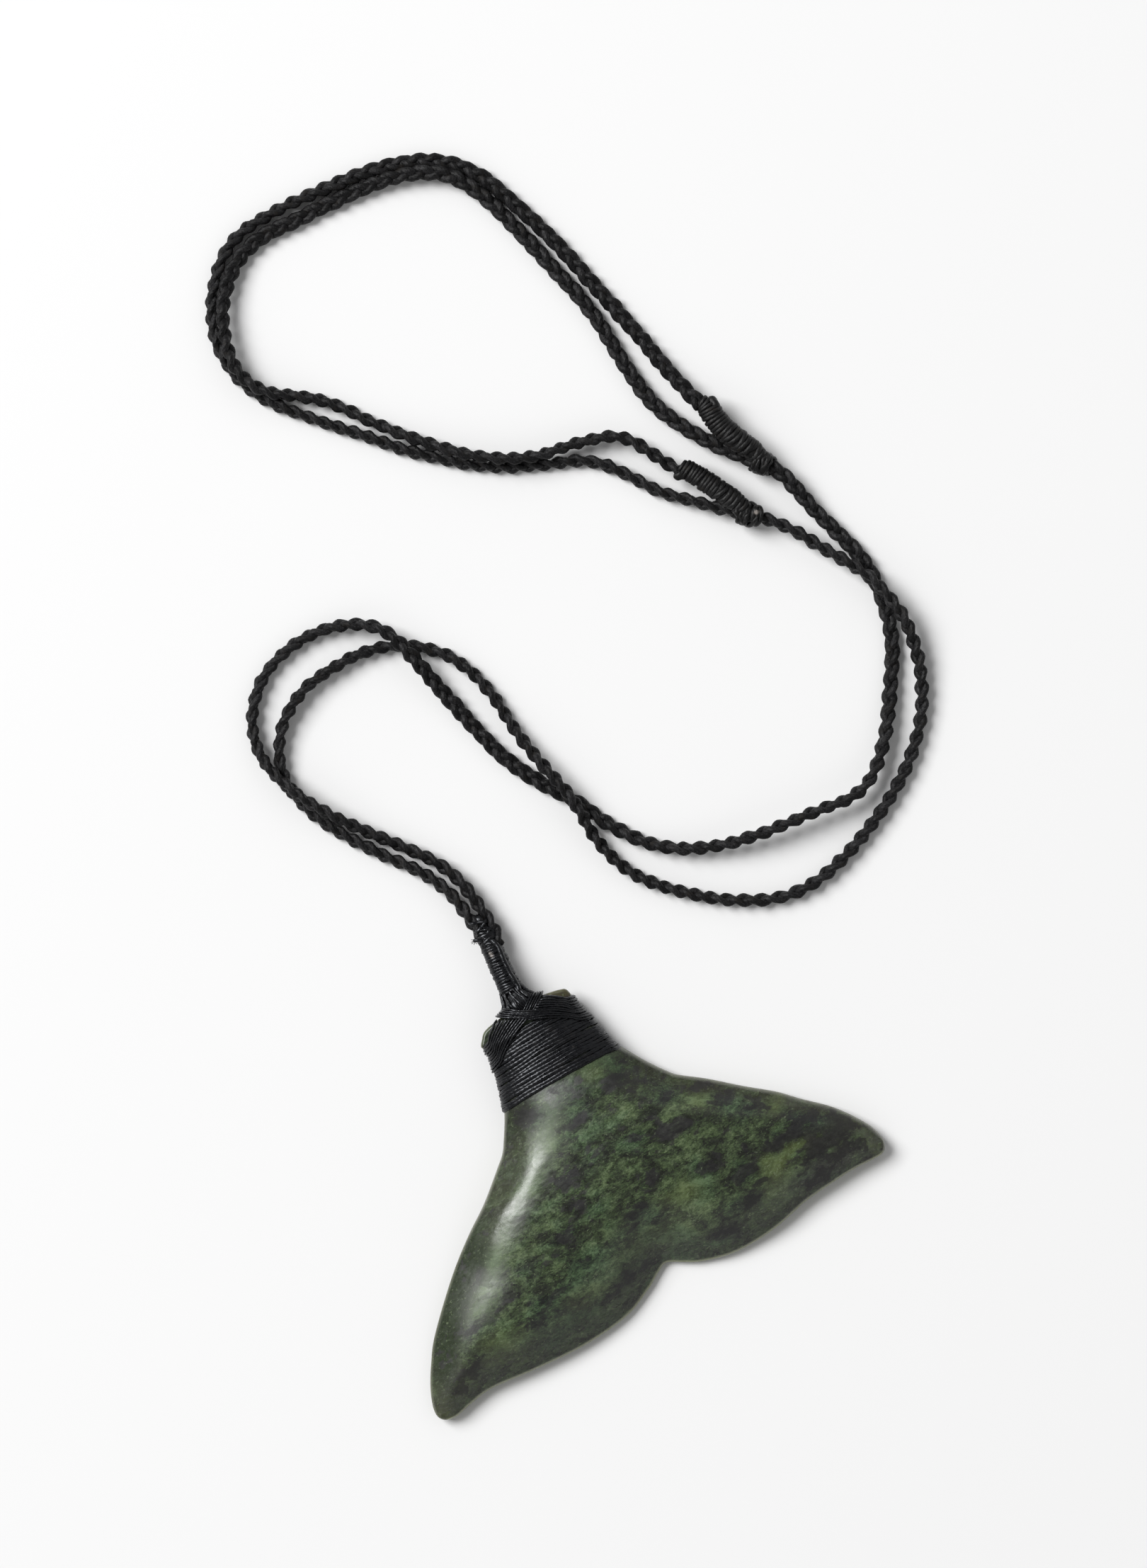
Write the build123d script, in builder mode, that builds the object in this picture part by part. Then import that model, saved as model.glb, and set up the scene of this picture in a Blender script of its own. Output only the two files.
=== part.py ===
from build123d import *
import math
import os

# A carved whale tail lies on its flat back, front face up (+Z), with its head towards +Y and
# its flukes along X. The origin is on the flat back, on the line from the notch to the head.
# All sizes are in millimetres.

# Flukes
left_reach = 39.3
right_reach = 35.0
waist_height = 17.3
trailing_drop = 16.8
stone_thickness = 7.4
back_bevel = 0.9
bevel_width = 2.0

# Head of the stone, above the waist
head_top = 29.0
head_left = 8.6
head_right = 9.5
head_thickness = 6.2
back_lift = 1.4

# Thread lashing round the head
lashing_gap = 0.08
lashing_wall = 0.66
bundle_wall = 0.4
lashing_top = 27.2

# Root knot over the head's top edge
knot_gap = 0.1
knot_width = 8.2
knot_depth = 5.8
knot_top = 31.2

# Whipped stem that holds both cords
stem_width = 3.3
stem_depth = 2.9
stem_top = 40.2

# Plaited cords
cord_diameter = 2.0
cord_level = 2.1

# Slide knots
upper_length = 14.0
lower_length = 11.4
slide_width = 3.4
slide_depth = 2.8
eye_wall = 0.95
eye_length = 2.3
eye_clearance = 0.2
eye_corner = 0.4
nub_diameter = 1.8

cord_radius = cord_diameter / 2
stem_centre = 2.1

# Outline of each fluke. across is a share of that side's reach, up is a share of waist_height
# above the origin and of trailing_drop below it.
left_leading = [
    (0.237, 1.0), (0.310, 0.717), (0.458, 0.445), (0.662, 0.133), (0.814, -0.179), (0.921, -0.476),
    (0.980, -0.702),
]
left_tip = (0.9985, -0.845)
left_trailing = [
    (0.949, -0.949), (0.878, -0.932), (0.776, -0.905), (0.611, -0.958), (0.407, -1.0), (0.229, -0.970),
    (0.102, -0.857), (0.020, -0.759),
]
notch = (-0.004, -0.751)
right_trailing = [
    (0.014, -0.771), (0.114, -0.899), (0.229, -0.970), (0.371, -0.988), (0.514, -0.952), (0.629, -0.911),
    (0.771, -0.893), (0.900, -0.893), (0.960, -0.908),
]
right_tip = (0.993, -0.869)
right_leading = [
    (0.9985, -0.768), (0.977, -0.613), (0.900, -0.369), (0.734, 0.0), (0.571, 0.289), (0.443, 0.503),
    (0.371, 0.694), (0.289, 1.0),
]

# Body of the flukes before the outline cuts it, one row for each upright section. across is
# a share of that side's reach, lead to trail are places up the stone, and rim to keel are
# heights as shares of stone_thickness: along the top at those places, and of the underside,
# which the flat back cuts off where keel is below it.
crown_rows = [
    # across, lead,  ridge,  bevel,  trail,   rim,  crest, shoulder, edge, keel
    (-1.05, -0.500, -0.740, -0.850, -1.050, 0.26, 0.37, 0.35, 0.25, 0.12),
    (-0.85, -0.270, -0.510, -0.680, -0.920, 0.30, 0.56, 0.51, 0.24, -0.07),
    (-0.66, 0.130, -0.180, -0.540, -0.940, 0.32, 0.72, 0.64, 0.24, -0.07),
    (-0.46, 0.445, 0.120, -0.480, -0.990, 0.35, 0.83, 0.73, 0.26, -0.07),
    (-0.28, 0.800, 0.380, -0.450, -0.990, 0.41, 0.88, 0.785, 0.27, -0.07),
    (0.00, 1.100, 0.580, -0.360, -0.755, 0.70, 0.905, 0.84, 0.35, -0.07),
    (0.314, 0.870, 0.400, -0.480, -0.990, 0.41, 0.88, 0.785, 0.27, -0.07),
    (0.514, 0.390, 0.090, -0.540, -0.950, 0.35, 0.81, 0.70, 0.26, -0.07),
    (0.743, -0.020, -0.270, -0.600, -0.900, 0.31, 0.66, 0.57, 0.24, -0.07),
    (0.90, -0.370, -0.540, -0.710, -0.890, 0.28, 0.50, 0.45, 0.23, -0.05),
    (1.05, -0.500, -0.740, -0.810, -1.050, 0.24, 0.36, 0.34, 0.23, 0.12),
]
fluke_margin = 3.0
leading_slope = 0.6
trailing_slope = 0.45

# Neck and head, one row for each upright section across the stone. along is a share of the
# way from the waist to the head's top, left and right are shares of the head's half widths,
# back is a share of back_lift, and rim and crest are shares of head_thickness.
head_rows = [
    # along, left, right, back, rim, crest
    (-0.80, 1.30, 1.18, 0.10, 0.45, 1.00),
    (-0.50, 1.33, 1.21, 0.15, 0.45, 1.07),
    (-0.20, 1.16, 1.10, 0.45, 0.45, 1.06),
    (0.10, 0.965, 0.963, 0.90, 0.45, 0.98),
    (0.40, 0.80, 0.875, 0.90, 0.45, 0.91),
    (0.68, 0.70, 0.77, 0.90, 0.43, 0.87),
    (0.84, 0.80, 0.81, 0.95, 0.43, 0.85),
    (1.00, 0.40, 0.50, 1.20, 0.40, 0.77),
]

# Plan of the lashing on the head, between its foot and its top. across is a share of the
# head's half widths, along is a share of the way from the waist to the lashing's top.
lashing_plan = [
    (-1.6, 0.0), (1.6, 0.0), (1.5, 0.45), (0.84, 0.84), (0.60, 1.0), (-0.52, 1.0), (-0.80, 0.88),
    (-1.4, 0.45),
]
left_bundle = [(-1.4, 0.42), (-0.30, 0.86), (-0.10, 1.0), (-0.52, 1.0), (-0.80, 0.88), (-1.4, 0.66)]
right_bundle = [(1.4, 0.40), (0.30, 0.84), (0.08, 1.0), (0.60, 1.0), (0.84, 0.84), (1.4, 0.62)]

# Root knot, one row for each section. along is a share of the way from the lashing's top to
# knot_top, wide and deep are shares of knot_width and knot_depth, and level is the height of
# its middle as a share of knot_depth.
knot_rows = [
    # along, wide, deep, level
    (0.03, 0.80, 1.00, 0.55),
    (0.33, 1.00, 1.00, 0.545),
    (0.58, 0.88, 0.87, 0.54),
    (0.80, 0.62, 0.66, 0.535),
    (1.00, 0.46, 0.54, 0.53),
]
knot_middle = 0.9

# Whipped stem, one row for each section. along is a share of its length, shift is a share of
# the way from knot_middle to stem_centre, drop is a share of the way down from the root knot
# to the level of the cords, and wide and deep are shares of stem_width and stem_depth.
stem_rows = [
    # along, shift, drop, wide, deep
    (0.00, 0.00, 0.00, 1.12, 1.05),
    (0.22, 0.08, 0.20, 1.00, 1.00),
    (0.52, 0.35, 0.50, 1.00, 0.98),
    (0.78, 0.65, 0.80, 0.93, 0.92),
    (1.00, 1.00, 1.00, 1.28, 0.80),
]

# Routes of the two cords, from the stem to the slide knot that each ends in.
route_one = [
    (3.15, 40.2, 2.1), (3.15, 46.2, 2.1), (1.6, 52.0, 1.4), (-2.4, 57.6, 1.2), (-5.9, 62.4, 3.0),
    (-8.9, 66.8, 6.0), (-11.7, 72.6, 6.0), (-12.8, 78.4, 3.4), (-10.9, 84.0, 1.6), (-5.9, 88.3, 1.0),
    (1.2, 89.7, 1.2), (7.9, 88.0, 3.2), (11.9, 84.6, 6.0), (13.2, 79.0, 6.0), (14.1, 73.2, 3.4),
    (15.3, 67.0, 1.6), (16.6, 60.6, 1.0), (19.2, 54.9, 1.0), (22.5, 49.8, 1.0), (25.0, 43.8, 1.0),
    (29.0, 38.0, 1.6), (35.4, 34.2, 2.6), (43.0, 32.2, 3.0), (50.6, 31.2, 2.6), (57.8, 29.7, 2.0),
    (63.6, 33.8, 2.0), (68.4, 40.2, 1.4), (72.6, 46.4, 1.0), (74.7, 52.4, 1.0), (75.4, 58.8, 1.0),
    (74.0, 64.4, 1.0), (72.5, 69.8, 1.6), (71.2, 75.2, 2.3), (67.9, 79.2, 2.3), (64.0, 84.6, 1.5),
    (60.4, 91.6, 1.0), (59.8, 99.4, 1.0), (60.2, 107.2, 1.0), (58.6, 115.2, 1.0), (57.0, 123.0, 1.4),
    (55.2, 130.4, 2.0), (52.2, 135.8, 2.6), (46.2, 138.7, 2.6), (38.6, 139.9, 2.0), (30.8, 140.6, 1.6),
    (23.4, 141.3, 2.2), (17.4, 137.9, 3.0), (13.8, 132.4, 3.4), (12.3, 126.2, 3.4), (14.6, 121.5, 3.0),
    (19.4, 118.4, 1.8), (22.8, 114.8, 1.2), (25.2, 110.6, 1.4), (29.4, 105.2, 2.6), (34.6, 99.4, 3.0),
    (41.6, 94.6, 3.2), (49.0, 93.4, 3.0), (55.2, 91.0, 2.6), (57.6, 84.9, 2.4), (59.2, 82.0, 2.4),
]
route_two = [
    (1.05, 40.2, 2.1), (1.05, 46.2, 2.1), (-0.9, 51.8, 1.4), (-4.9, 57.2, 1.0), (-8.6, 63.2, 1.0),
    (-11.0, 68.6, 1.0), (-11.6, 74.6, 1.6), (-8.9, 80.0, 3.2), (-3.2, 83.6, 3.8), (3.6, 83.9, 3.0),
    (9.4, 83.2, 1.4), (14.6, 80.4, 1.0), (18.4, 76.0, 2.0), (20.2, 69.8, 3.0), (20.2, 63.2, 4.6),
    (21.0, 56.6, 6.0), (22.4, 50.0, 6.0), (21.8, 43.8, 4.0), (23.6, 36.9, 1.8), (28.6, 30.9, 1.0),
    (34.6, 25.8, 1.0), (41.8, 22.3, 1.0), (49.2, 22.8, 1.0), (57.0, 25.4, 1.0), (64.6, 29.2, 1.4),
    (70.6, 34.6, 2.6), (74.4, 41.4, 4.0), (75.8, 48.6, 6.0), (74.4, 56.2, 6.0), (71.3, 61.9, 4.0),
    (69.2, 66.0, 2.8), (66.4, 70.0, 2.3), (61.8, 74.0, 2.3), (58.2, 77.9, 1.8), (54.9, 81.2, 1.2),
    (52.6, 85.4, 1.0), (49.0, 90.4, 1.0), (42.6, 93.0, 1.0), (36.0, 96.6, 1.0), (30.6, 101.4, 1.0),
    (25.2, 106.8, 1.0), (19.8, 112.7, 1.0), (14.8, 119.0, 1.0), (11.9, 125.6, 1.0), (12.0, 132.4, 1.0),
    (15.7, 138.8, 1.0), (21.6, 143.2, 1.0), (29.0, 143.3, 1.0), (36.8, 142.3, 1.0), (44.6, 141.0, 1.0),
    (51.4, 138.4, 1.0), (56.2, 133.6, 1.0), (58.6, 126.4, 1.0), (60.7, 118.9, 1.0), (62.2, 111.0, 1.0),
    (63.9, 103.0, 1.2), (65.0, 95.4, 2.0), (66.0, 90.2, 2.6),
]
# The run of each route, by its first point, that goes through the other cord's eye.
eye_run_one = 32
eye_run_two = 31

# Slide knots, one row for each section. x, y and z are the section's place, measured from the
# end of the cord that the knot holds, as shares of the knot's length, and wide and deep are
# shares of slide_width and slide_depth. The nub is placed the same way, in shares of slide_width.
upper_rows = [
    # x, y, z, wide, deep
    (0.000, 0.000, 0.000, 0.66, 0.80),
    (0.039, -0.114, 0.014, 0.95, 0.98),
    (0.071, -0.300, 0.043, 1.02, 1.00),
    (0.121, -0.500, 0.071, 1.12, 1.02),
    (0.207, -0.714, 0.071, 1.12, 1.00),
    (0.300, -0.900, 0.036, 0.95, 0.90),
    (0.350, -1.000, 0.014, 0.50, 0.55),
]
upper_nub = (0.65, -0.50, 0.09)
lower_rows = [
    # x, y, z, wide, deep
    (0.000, 0.000, 0.000, 0.66, 0.80),
    (0.079, -0.105, 0.026, 0.92, 0.96),
    (0.202, -0.333, 0.070, 0.96, 1.00),
    (0.298, -0.544, 0.088, 1.00, 1.00),
    (0.395, -0.754, 0.070, 1.02, 0.95),
    (0.456, -0.912, 0.026, 0.80, 0.80),
    (0.482, -1.000, 0.009, 0.50, 0.55),
]
lower_nub = (-0.35, -0.50, 0.03)


def up_the_stone(share):
    return share * (waist_height if share > 0 else trailing_drop)


def outline_point(side, row):
    reach = left_reach if side < 0 else right_reach
    return (side * row[0] * reach, up_the_stone(row[1]))


def section_plane(across):
    """Plane along the stone at one place across it, its own X up the stone and its Y up (+Z)."""
    reach = left_reach if across < 0 else right_reach
    return Plane(origin=(across * reach, 0, 0), x_dir=(0, 1, 0), z_dir=(1, 0, 0))


def upright_plane(along):
    """Plane across the stone at one height up it, its own X to the right and its Y up (+Z)."""
    return Plane(origin=(0, along, 0), x_dir=(1, 0, 0), z_dir=(0, -1, 0))


def head_height(share):
    return waist_height + share * (head_top - waist_height)


def head_loft(grow):
    """The neck and head, with every wall moved out by grow."""
    with BuildPart() as head:
        for along, left, right, back, rim, crest in head_rows:
            low = back * back_lift - grow
            side = rim * head_thickness
            top = crest * head_thickness + grow
            x_left = -left * head_left - grow
            x_right = right * head_right + grow
            middle = (x_left + x_right) / 2
            with BuildSketch(upright_plane(head_height(along))):
                with BuildLine():
                    Polyline((x_left, side), (x_left, low), (x_right, low), (x_right, side))
                    ThreePointArc((x_right, side), (middle, top), (x_left, side))
                make_face()
        loft()
    return head.part


def plan_point(across, along):
    half_width = head_left if across < 0 else head_right
    return (across * half_width, waist_height + along * (lashing_top - waist_height))


def plan_prism(rows):
    """An upright prism over a plan on the head, from the waist to the lashing's top."""
    with BuildPart() as prism:
        with BuildSketch(Plane.XY.offset(-stone_thickness)):
            with BuildLine():
                Polyline([plan_point(across, along) for across, along in rows], close=True)
            make_face()
        extrude(amount=3 * stone_thickness)
    return prism.part


def route_radii(route):
    """The arc at each corner: 0.45 of the shorter run, over the tangent of half the turn."""
    points = [Vector(*place) for place in route]
    radii = []
    for before, corner, after in zip(points, points[1:], points[2:]):
        run_in = corner - before
        run_out = after - corner
        half_turn = math.radians(run_in.get_angle(run_out)) / 2
        radii.append(0.45 * min(run_in.length, run_out.length) / math.tan(half_turn))
    return radii


def route_tube(route, radius):
    """A round tube along straight runs and tangent arcs."""
    start = Vector(*route[0])
    heading = Vector(*route[1]) - start
    with BuildPart() as tube:
        with BuildLine() as path:
            FilletPolyline(*route, radius=route_radii(route))
        with BuildSketch(Plane(origin=start, z_dir=heading)):
            Circle(radius)
        sweep(path=path.line)
    return tube.part


def eye_sweep(route, run):
    """The passing cord near an eye, thickened by the eye's clearance."""
    return route_tube(route[run - 3:run + 5], cord_radius + eye_clearance)


def slide_knot(name, route, length, rows, nub, passing, run):
    """A whipped cord end whose last turn makes an eye round the passing cord."""
    end = Vector(*route[-1])
    heading = (end - Vector(*route[-2])).normalized()
    centres = [end + Vector(x, y, z) * length for x, y, z, wide, deep in rows]
    first, second = Vector(*passing[run]), Vector(*passing[run + 1])
    eye_middle = (first + second) * 0.5
    eye_axis = (second - first).normalized()
    eye_side = eye_axis.cross(Vector(0, 0, 1)).normalized()
    eye_rim = cord_radius + eye_clearance + eye_wall
    half_length = eye_length / 2
    bore = eye_sweep(passing, run)
    with BuildPart() as knot:
        for index, (x, y, z, wide, deep) in enumerate(rows):
            if index == 0:
                normal = heading
            elif index == len(rows) - 1:
                normal = centres[index] - centres[index - 1]
            else:
                normal = centres[index + 1] - centres[index - 1]
            across = normal.cross(Vector(0, 0, 1)).normalized()
            with BuildSketch(Plane(origin=centres[index], x_dir=across, z_dir=normal)):
                Ellipse(wide * slide_width / 2, deep * slide_depth / 2)
        loft()
        with BuildSketch(Plane(origin=eye_middle, x_dir=eye_axis, z_dir=eye_side)):
            with BuildLine():
                Polyline(
                    (-half_length, 0),
                    (-half_length, eye_rim - eye_corner),
                    (eye_corner - half_length, eye_rim),
                    (half_length - eye_corner, eye_rim),
                    (half_length, eye_rim - eye_corner),
                    (half_length, 0),
                    close=True,
                )
            make_face()
        revolve(axis=Axis(eye_middle, eye_axis))
        with Locations(end + Vector(*nub) * slide_width):
            Sphere(nub_diameter / 2, rotation=(0, 90, 0))
        add(bore, mode=Mode.SUBTRACT)
    knot.part.label = name
    return knot.part


os.makedirs("parts", exist_ok=True)

# Crown over the flukes and keel under them, both wider than the outline that cuts them
with BuildPart() as crown:
    for across, lead, ridge, bevel, trail, rim, crest, shoulder, edge, keel in crown_rows:
        lead_place = up_the_stone(lead)
        trail_place = up_the_stone(trail)
        lead_end = (lead_place + fluke_margin, rim * stone_thickness - fluke_margin * leading_slope)
        trail_end = (trail_place - fluke_margin, edge * stone_thickness - fluke_margin * trailing_slope)
        with BuildSketch(section_plane(across)):
            with BuildLine():
                Polyline(
                    lead_end,
                    (lead_end[0], -stone_thickness),
                    (trail_end[0], -stone_thickness),
                    trail_end,
                )
                Spline(
                    trail_end,
                    (trail_place, edge * stone_thickness),
                    (up_the_stone(bevel), shoulder * stone_thickness),
                    (up_the_stone(ridge), crest * stone_thickness),
                    (lead_place, rim * stone_thickness),
                    lead_end,
                )
            make_face()
    loft()
with BuildPart() as keel_body:
    for across, lead, ridge, bevel, trail, rim, crest, shoulder, edge, keel in crown_rows:
        lead_out = up_the_stone(lead) + fluke_margin
        trail_out = up_the_stone(trail) - fluke_margin
        bottom = keel * stone_thickness
        bevel_slope = back_bevel / bevel_width
        side = back_bevel + fluke_margin * bevel_slope
        inset = (side - bottom) / bevel_slope
        top = 2 * stone_thickness
        with BuildSketch(section_plane(across)):
            with BuildLine():
                Polyline(
                    (lead_out, top),
                    (lead_out, side),
                    (lead_out - inset, bottom),
                    (trail_out + inset, bottom),
                    (trail_out, side),
                    (trail_out, top),
                    close=True,
                )
            make_face()
    loft()

# Stone: the flukes under their crown, with the neck and head
with BuildPart() as whale_tail:
    with BuildSketch():
        with BuildLine():
            left_edge = Spline([outline_point(-1, row) for row in left_leading])
            left_back = Spline([outline_point(-1, row) for row in left_trailing])
            right_back = Spline([outline_point(1, row) for row in right_trailing])
            right_edge = Spline([outline_point(1, row) for row in right_leading])
            ThreePointArc(left_edge @ 1, outline_point(-1, left_tip), left_back @ 0)
            ThreePointArc(left_back @ 1, outline_point(1, notch), right_back @ 0)
            ThreePointArc(right_back @ 1, outline_point(1, right_tip), right_edge @ 0)
            Line(right_edge @ 1, left_edge @ 0)
        make_face()
    extrude(amount=1.5 * stone_thickness)
    add(crown.part, mode=Mode.INTERSECT)
    add(keel_body.part, mode=Mode.INTERSECT)
    add(head_loft(0))
whale_tail.part.label = "whale_tail"
export_step(whale_tail.part, "parts/whale_tail.step")

# Lashing round the head, with its two raised bundles
with BuildPart() as bundles:
    add(head_loft(lashing_gap + lashing_wall + bundle_wall))
    add(plan_prism(left_bundle) + plan_prism(right_bundle), mode=Mode.INTERSECT)
with BuildPart() as tab_lashing:
    add(head_loft(lashing_gap + lashing_wall))
    add(plan_prism(lashing_plan), mode=Mode.INTERSECT)
    add(bundles.part)
    add(head_loft(lashing_gap), mode=Mode.SUBTRACT)
tab_lashing.part.label = "tab_lashing"
export_step(tab_lashing.part, "parts/tab_lashing.step")

# Root knot over the top edge of the head
with BuildPart() as root_knot:
    for along, wide, deep, level in knot_rows:
        with BuildSketch(upright_plane(lashing_top + along * (knot_top - lashing_top))):
            with Locations((knot_middle, level * knot_depth)):
                Ellipse(wide * knot_width / 2, deep * knot_depth / 2)
    loft()
    add(head_loft(lashing_gap), mode=Mode.SUBTRACT)
root_knot.part.label = "root_knot"
export_step(root_knot.part, "parts/root_knot.step")

# Whipped stem
with BuildPart() as stem_whipping:
    stem_foot = knot_top + knot_gap
    foot_level = knot_rows[-1][3] * knot_depth
    for along, shift, drop, wide, deep in stem_rows:
        middle = knot_middle + shift * (stem_centre - knot_middle)
        level = foot_level + drop * (cord_level - foot_level)
        with BuildSketch(upright_plane(stem_foot + along * (stem_top - stem_foot))):
            with Locations((middle, level)):
                Ellipse(wide * stem_width / 2, deep * stem_depth / 2)
    loft()
stem_whipping.part.label = "stem_whipping"
export_step(stem_whipping.part, "parts/stem_whipping.step")

# Cords
for name, route in (("cord_one", route_one), ("cord_two", route_two)):
    tube = route_tube(route, cord_radius)
    tube.label = name
    path_length = tube.volume / (math.pi * cord_radius**2)
    radii = [round(radius, 1) for radius in route_radii(route)]
    print(name, "length by volume", round(path_length, 1), "smallest radius", min(radii), "radii", radii)
    export_step(tube, f"parts/{name}.step")

# Slide knots
upper = slide_knot("slide_knot_upper", route_two, upper_length, upper_rows, upper_nub, route_one, eye_run_one)
export_step(upper, "parts/slide_knot_upper.step")
lower = slide_knot("slide_knot_lower", route_one, lower_length, lower_rows, lower_nub, route_two, eye_run_two)
export_step(lower, "parts/slide_knot_lower.step")
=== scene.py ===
import math
import random

import bmesh
import bpy
import numpy as np
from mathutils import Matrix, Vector, noise
from mathutils.geometry import delaunay_2d_cdt


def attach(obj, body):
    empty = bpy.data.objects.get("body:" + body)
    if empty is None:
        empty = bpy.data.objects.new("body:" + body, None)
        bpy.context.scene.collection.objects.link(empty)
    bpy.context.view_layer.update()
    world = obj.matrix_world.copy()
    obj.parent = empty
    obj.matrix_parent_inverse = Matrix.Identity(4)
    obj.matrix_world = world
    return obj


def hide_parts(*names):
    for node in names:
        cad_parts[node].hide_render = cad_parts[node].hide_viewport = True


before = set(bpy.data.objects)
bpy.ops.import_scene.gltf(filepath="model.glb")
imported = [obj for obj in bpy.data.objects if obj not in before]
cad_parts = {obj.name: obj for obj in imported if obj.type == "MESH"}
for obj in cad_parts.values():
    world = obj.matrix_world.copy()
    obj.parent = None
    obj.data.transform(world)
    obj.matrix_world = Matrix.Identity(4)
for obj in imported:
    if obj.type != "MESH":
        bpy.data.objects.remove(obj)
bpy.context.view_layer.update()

# Sizes below are in millimetres in the row frame, and go into the meshes in metres.
MM = 0.001
TURN = 2 * math.pi
UP = np.array([0.0, 0.0, 1.0])
rng = random.Random(3099)

# Camera: straight down on the photograph's middle, turned so that the pendant leans left.
VIEW_MIDDLE = (23.37, 52.04)
VIEW_LONG_SIDE = 221.4
VIEW_TURN = math.radians(-31.0)
CAMERA_HEIGHT = 900.0
SUBJECT_LEVEL = 2.0

# One large soft lamp, and a pale room: brightness by height over the horizon. The lamp's
# distances are in metres.
LAMP_HEADING, LAMP_RISE = (-0.5, 0.85), math.radians(46.5)
LAMP_DISTANCE, LAMP_SIDE, LAMP_POWER = 2.8, 1.54, 89.5
LIT_PLACE = Vector((10 * MM, 30 * MM, 0))
ROOM_LEVELS = [(0.05, 0.26), (0.35, 0.35), (0.55, 0.53), (0.80, 0.36), (0.97, 0.09)]
FLOOR_REACH = 2.5


# Helpers for numbers and lines

def smoothstep(low, high, value):
    share = np.clip((value - low) / (high - low), 0.0, 1.0)
    return share * share * (3.0 - 2.0 * share)


def soft_min(first, second, width):
    """The lesser of two heights, rounded over width where they meet."""
    share = np.clip(0.5 + 0.5 * (second - first) / width, 0.0, 1.0)
    return second + (first - second) * share - width * share * (1.0 - share)


def noise_at(x, y, z):
    """Smooth noise at places given by arrays or single numbers."""
    places = zip(*(values.tolist() for values in np.broadcast_arrays(x, y, z)))
    return np.array([noise.noise(Vector(place)) for place in places])


def wander(count, size, reach, seed):
    """A slow random walk along a line: smooth noise of one size."""
    return size * noise_at(np.linspace(0.0, count / reach, count), seed * 7.31, 0.5)


def ring_noise(turn, seed, lobes):
    """Smooth noise round a closed ring, at angles in radians."""
    return noise_at(np.cos(turn) * lobes, np.sin(turn) * lobes, seed)


def lengths_along(line):
    return np.concatenate([[0.0], np.cumsum(np.linalg.norm(np.diff(line, axis=0), axis=1))])


def sampled(marks, along, values):
    """Columns of values, read at marks along a line."""
    return np.column_stack([np.interp(marks, along, column) for column in values.T])


def at_equal_steps(line, step):
    along = lengths_along(line)
    count = max(2, int(round(along[-1] / step)) + 1)
    return sampled(np.linspace(0.0, along[-1], count), along, line)


def curve_through(points, step, closed=False):
    """Points at equal steps along a smooth curve through the given points."""
    base = np.array(points, float)
    if closed:
        ring = np.vstack([base[-1], base, base[0], base[1]])
    else:
        ring = np.vstack([2 * base[0] - base[1], base, 2 * base[-1] - base[-2]])
    fine = []
    share = np.linspace(0.0, 1.0, 24, endpoint=False)[:, None]
    for before, start, end, after in zip(ring, ring[1:], ring[2:], ring[3:]):
        fine.append(0.5 * (
            2 * start + (end - before) * share
            + (2 * before - 5 * start + 4 * end - after) * share ** 2
            + (3 * start - before - 3 * end + after) * share ** 3
        ))
    fine.append(base[:1] if closed else base[-1:])
    return at_equal_steps(np.vstack(fine), step)


def unit(vectors):
    return vectors / np.maximum(np.linalg.norm(vectors, axis=-1, keepdims=True), 1e-9)


def tangents(line):
    return unit(np.gradient(line, axis=0))


def beside(line, across, right, upward, rise):
    """A line moved in two directions, by an amount of each at each of its points."""
    return line + across * right[:, None] + upward * rise[:, None]


def ring_tangents(line):
    return unit(np.roll(line, -1, axis=0) - np.roll(line, 1, axis=0))


def carried_frames(line, side=(0.1, 0.2, 1.0)):
    """Side and upward directions carried along a line without twist."""
    ahead = tangents(line)
    sides = []
    for heading in ahead:
        side = unit(side - heading * np.dot(side, heading))
        sides.append(side)
    sides = np.array(sides)
    return sides, np.cross(ahead, sides)


def level_frames(line):
    """Side direction level with the floor, and the upward one, along a line that lies on it."""
    ahead = tangents(line)
    side = unit(np.cross(ahead, UP))
    return side, np.cross(side, ahead)


# Helpers for meshes

# Pale waxy spots and frayed fibre on the threads: middle, half sizes, strength. The spots on the stem at
# (1.15, 37.4) and by the knot at (0.5, 29.6) are partly painted highlight.
WAX_AND_GLINT_SPOTS = [
    (1.15, 37.4, 0.35, 0.9, 1.0), (65.2, 71.6, 0.5, 0.45, 0.9), (70.8, 77.5, 0.5, 0.5, 0.35),
    (66.6, 87.0, 0.5, 0.7, 0.25), (60.5, 80.0, 0.35, 0.4, 0.4), (0.5, 29.6, 0.7, 0.5, 0.22),
    (0.9, 24.0, 0.5, 0.35, 0.12), (4.3, 20.4, 0.3, 0.3, 0.5),
]
FLOOR_GAP = 0.03


def point_values(mesh, name, values):
    layer = mesh.attributes.new(name, "FLOAT", "POINT")
    layer.data.foreach_set("value", np.asarray(values, np.float32))


def patch_sum(x, y, rows, sharp=1.0):
    """Sum of soft patches, a row for each: middle, half sizes, strength."""
    total = np.zeros(len(x))
    for middle_x, middle_y, wide, high, weight in rows:
        total += weight * np.exp(-sharp * (((x - middle_x) / wide) ** 2 + ((y - middle_y) / high) ** 2))
    return total


def placed(name, data):
    """A new object in the scene."""
    thing = bpy.data.objects.new(name, data)
    bpy.context.scene.collection.objects.link(thing)
    return thing


def put_in(name, mesh, material, node):
    """Puts a mesh in the scene as the piece that stands for a CAD node."""
    mesh.polygons.foreach_set("use_smooth", [True] * len(mesh.polygons))
    mesh.materials.append(material)
    mesh.update()
    piece = placed(name, mesh)
    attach(piece, "root")
    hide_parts(node)
    return piece


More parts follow.
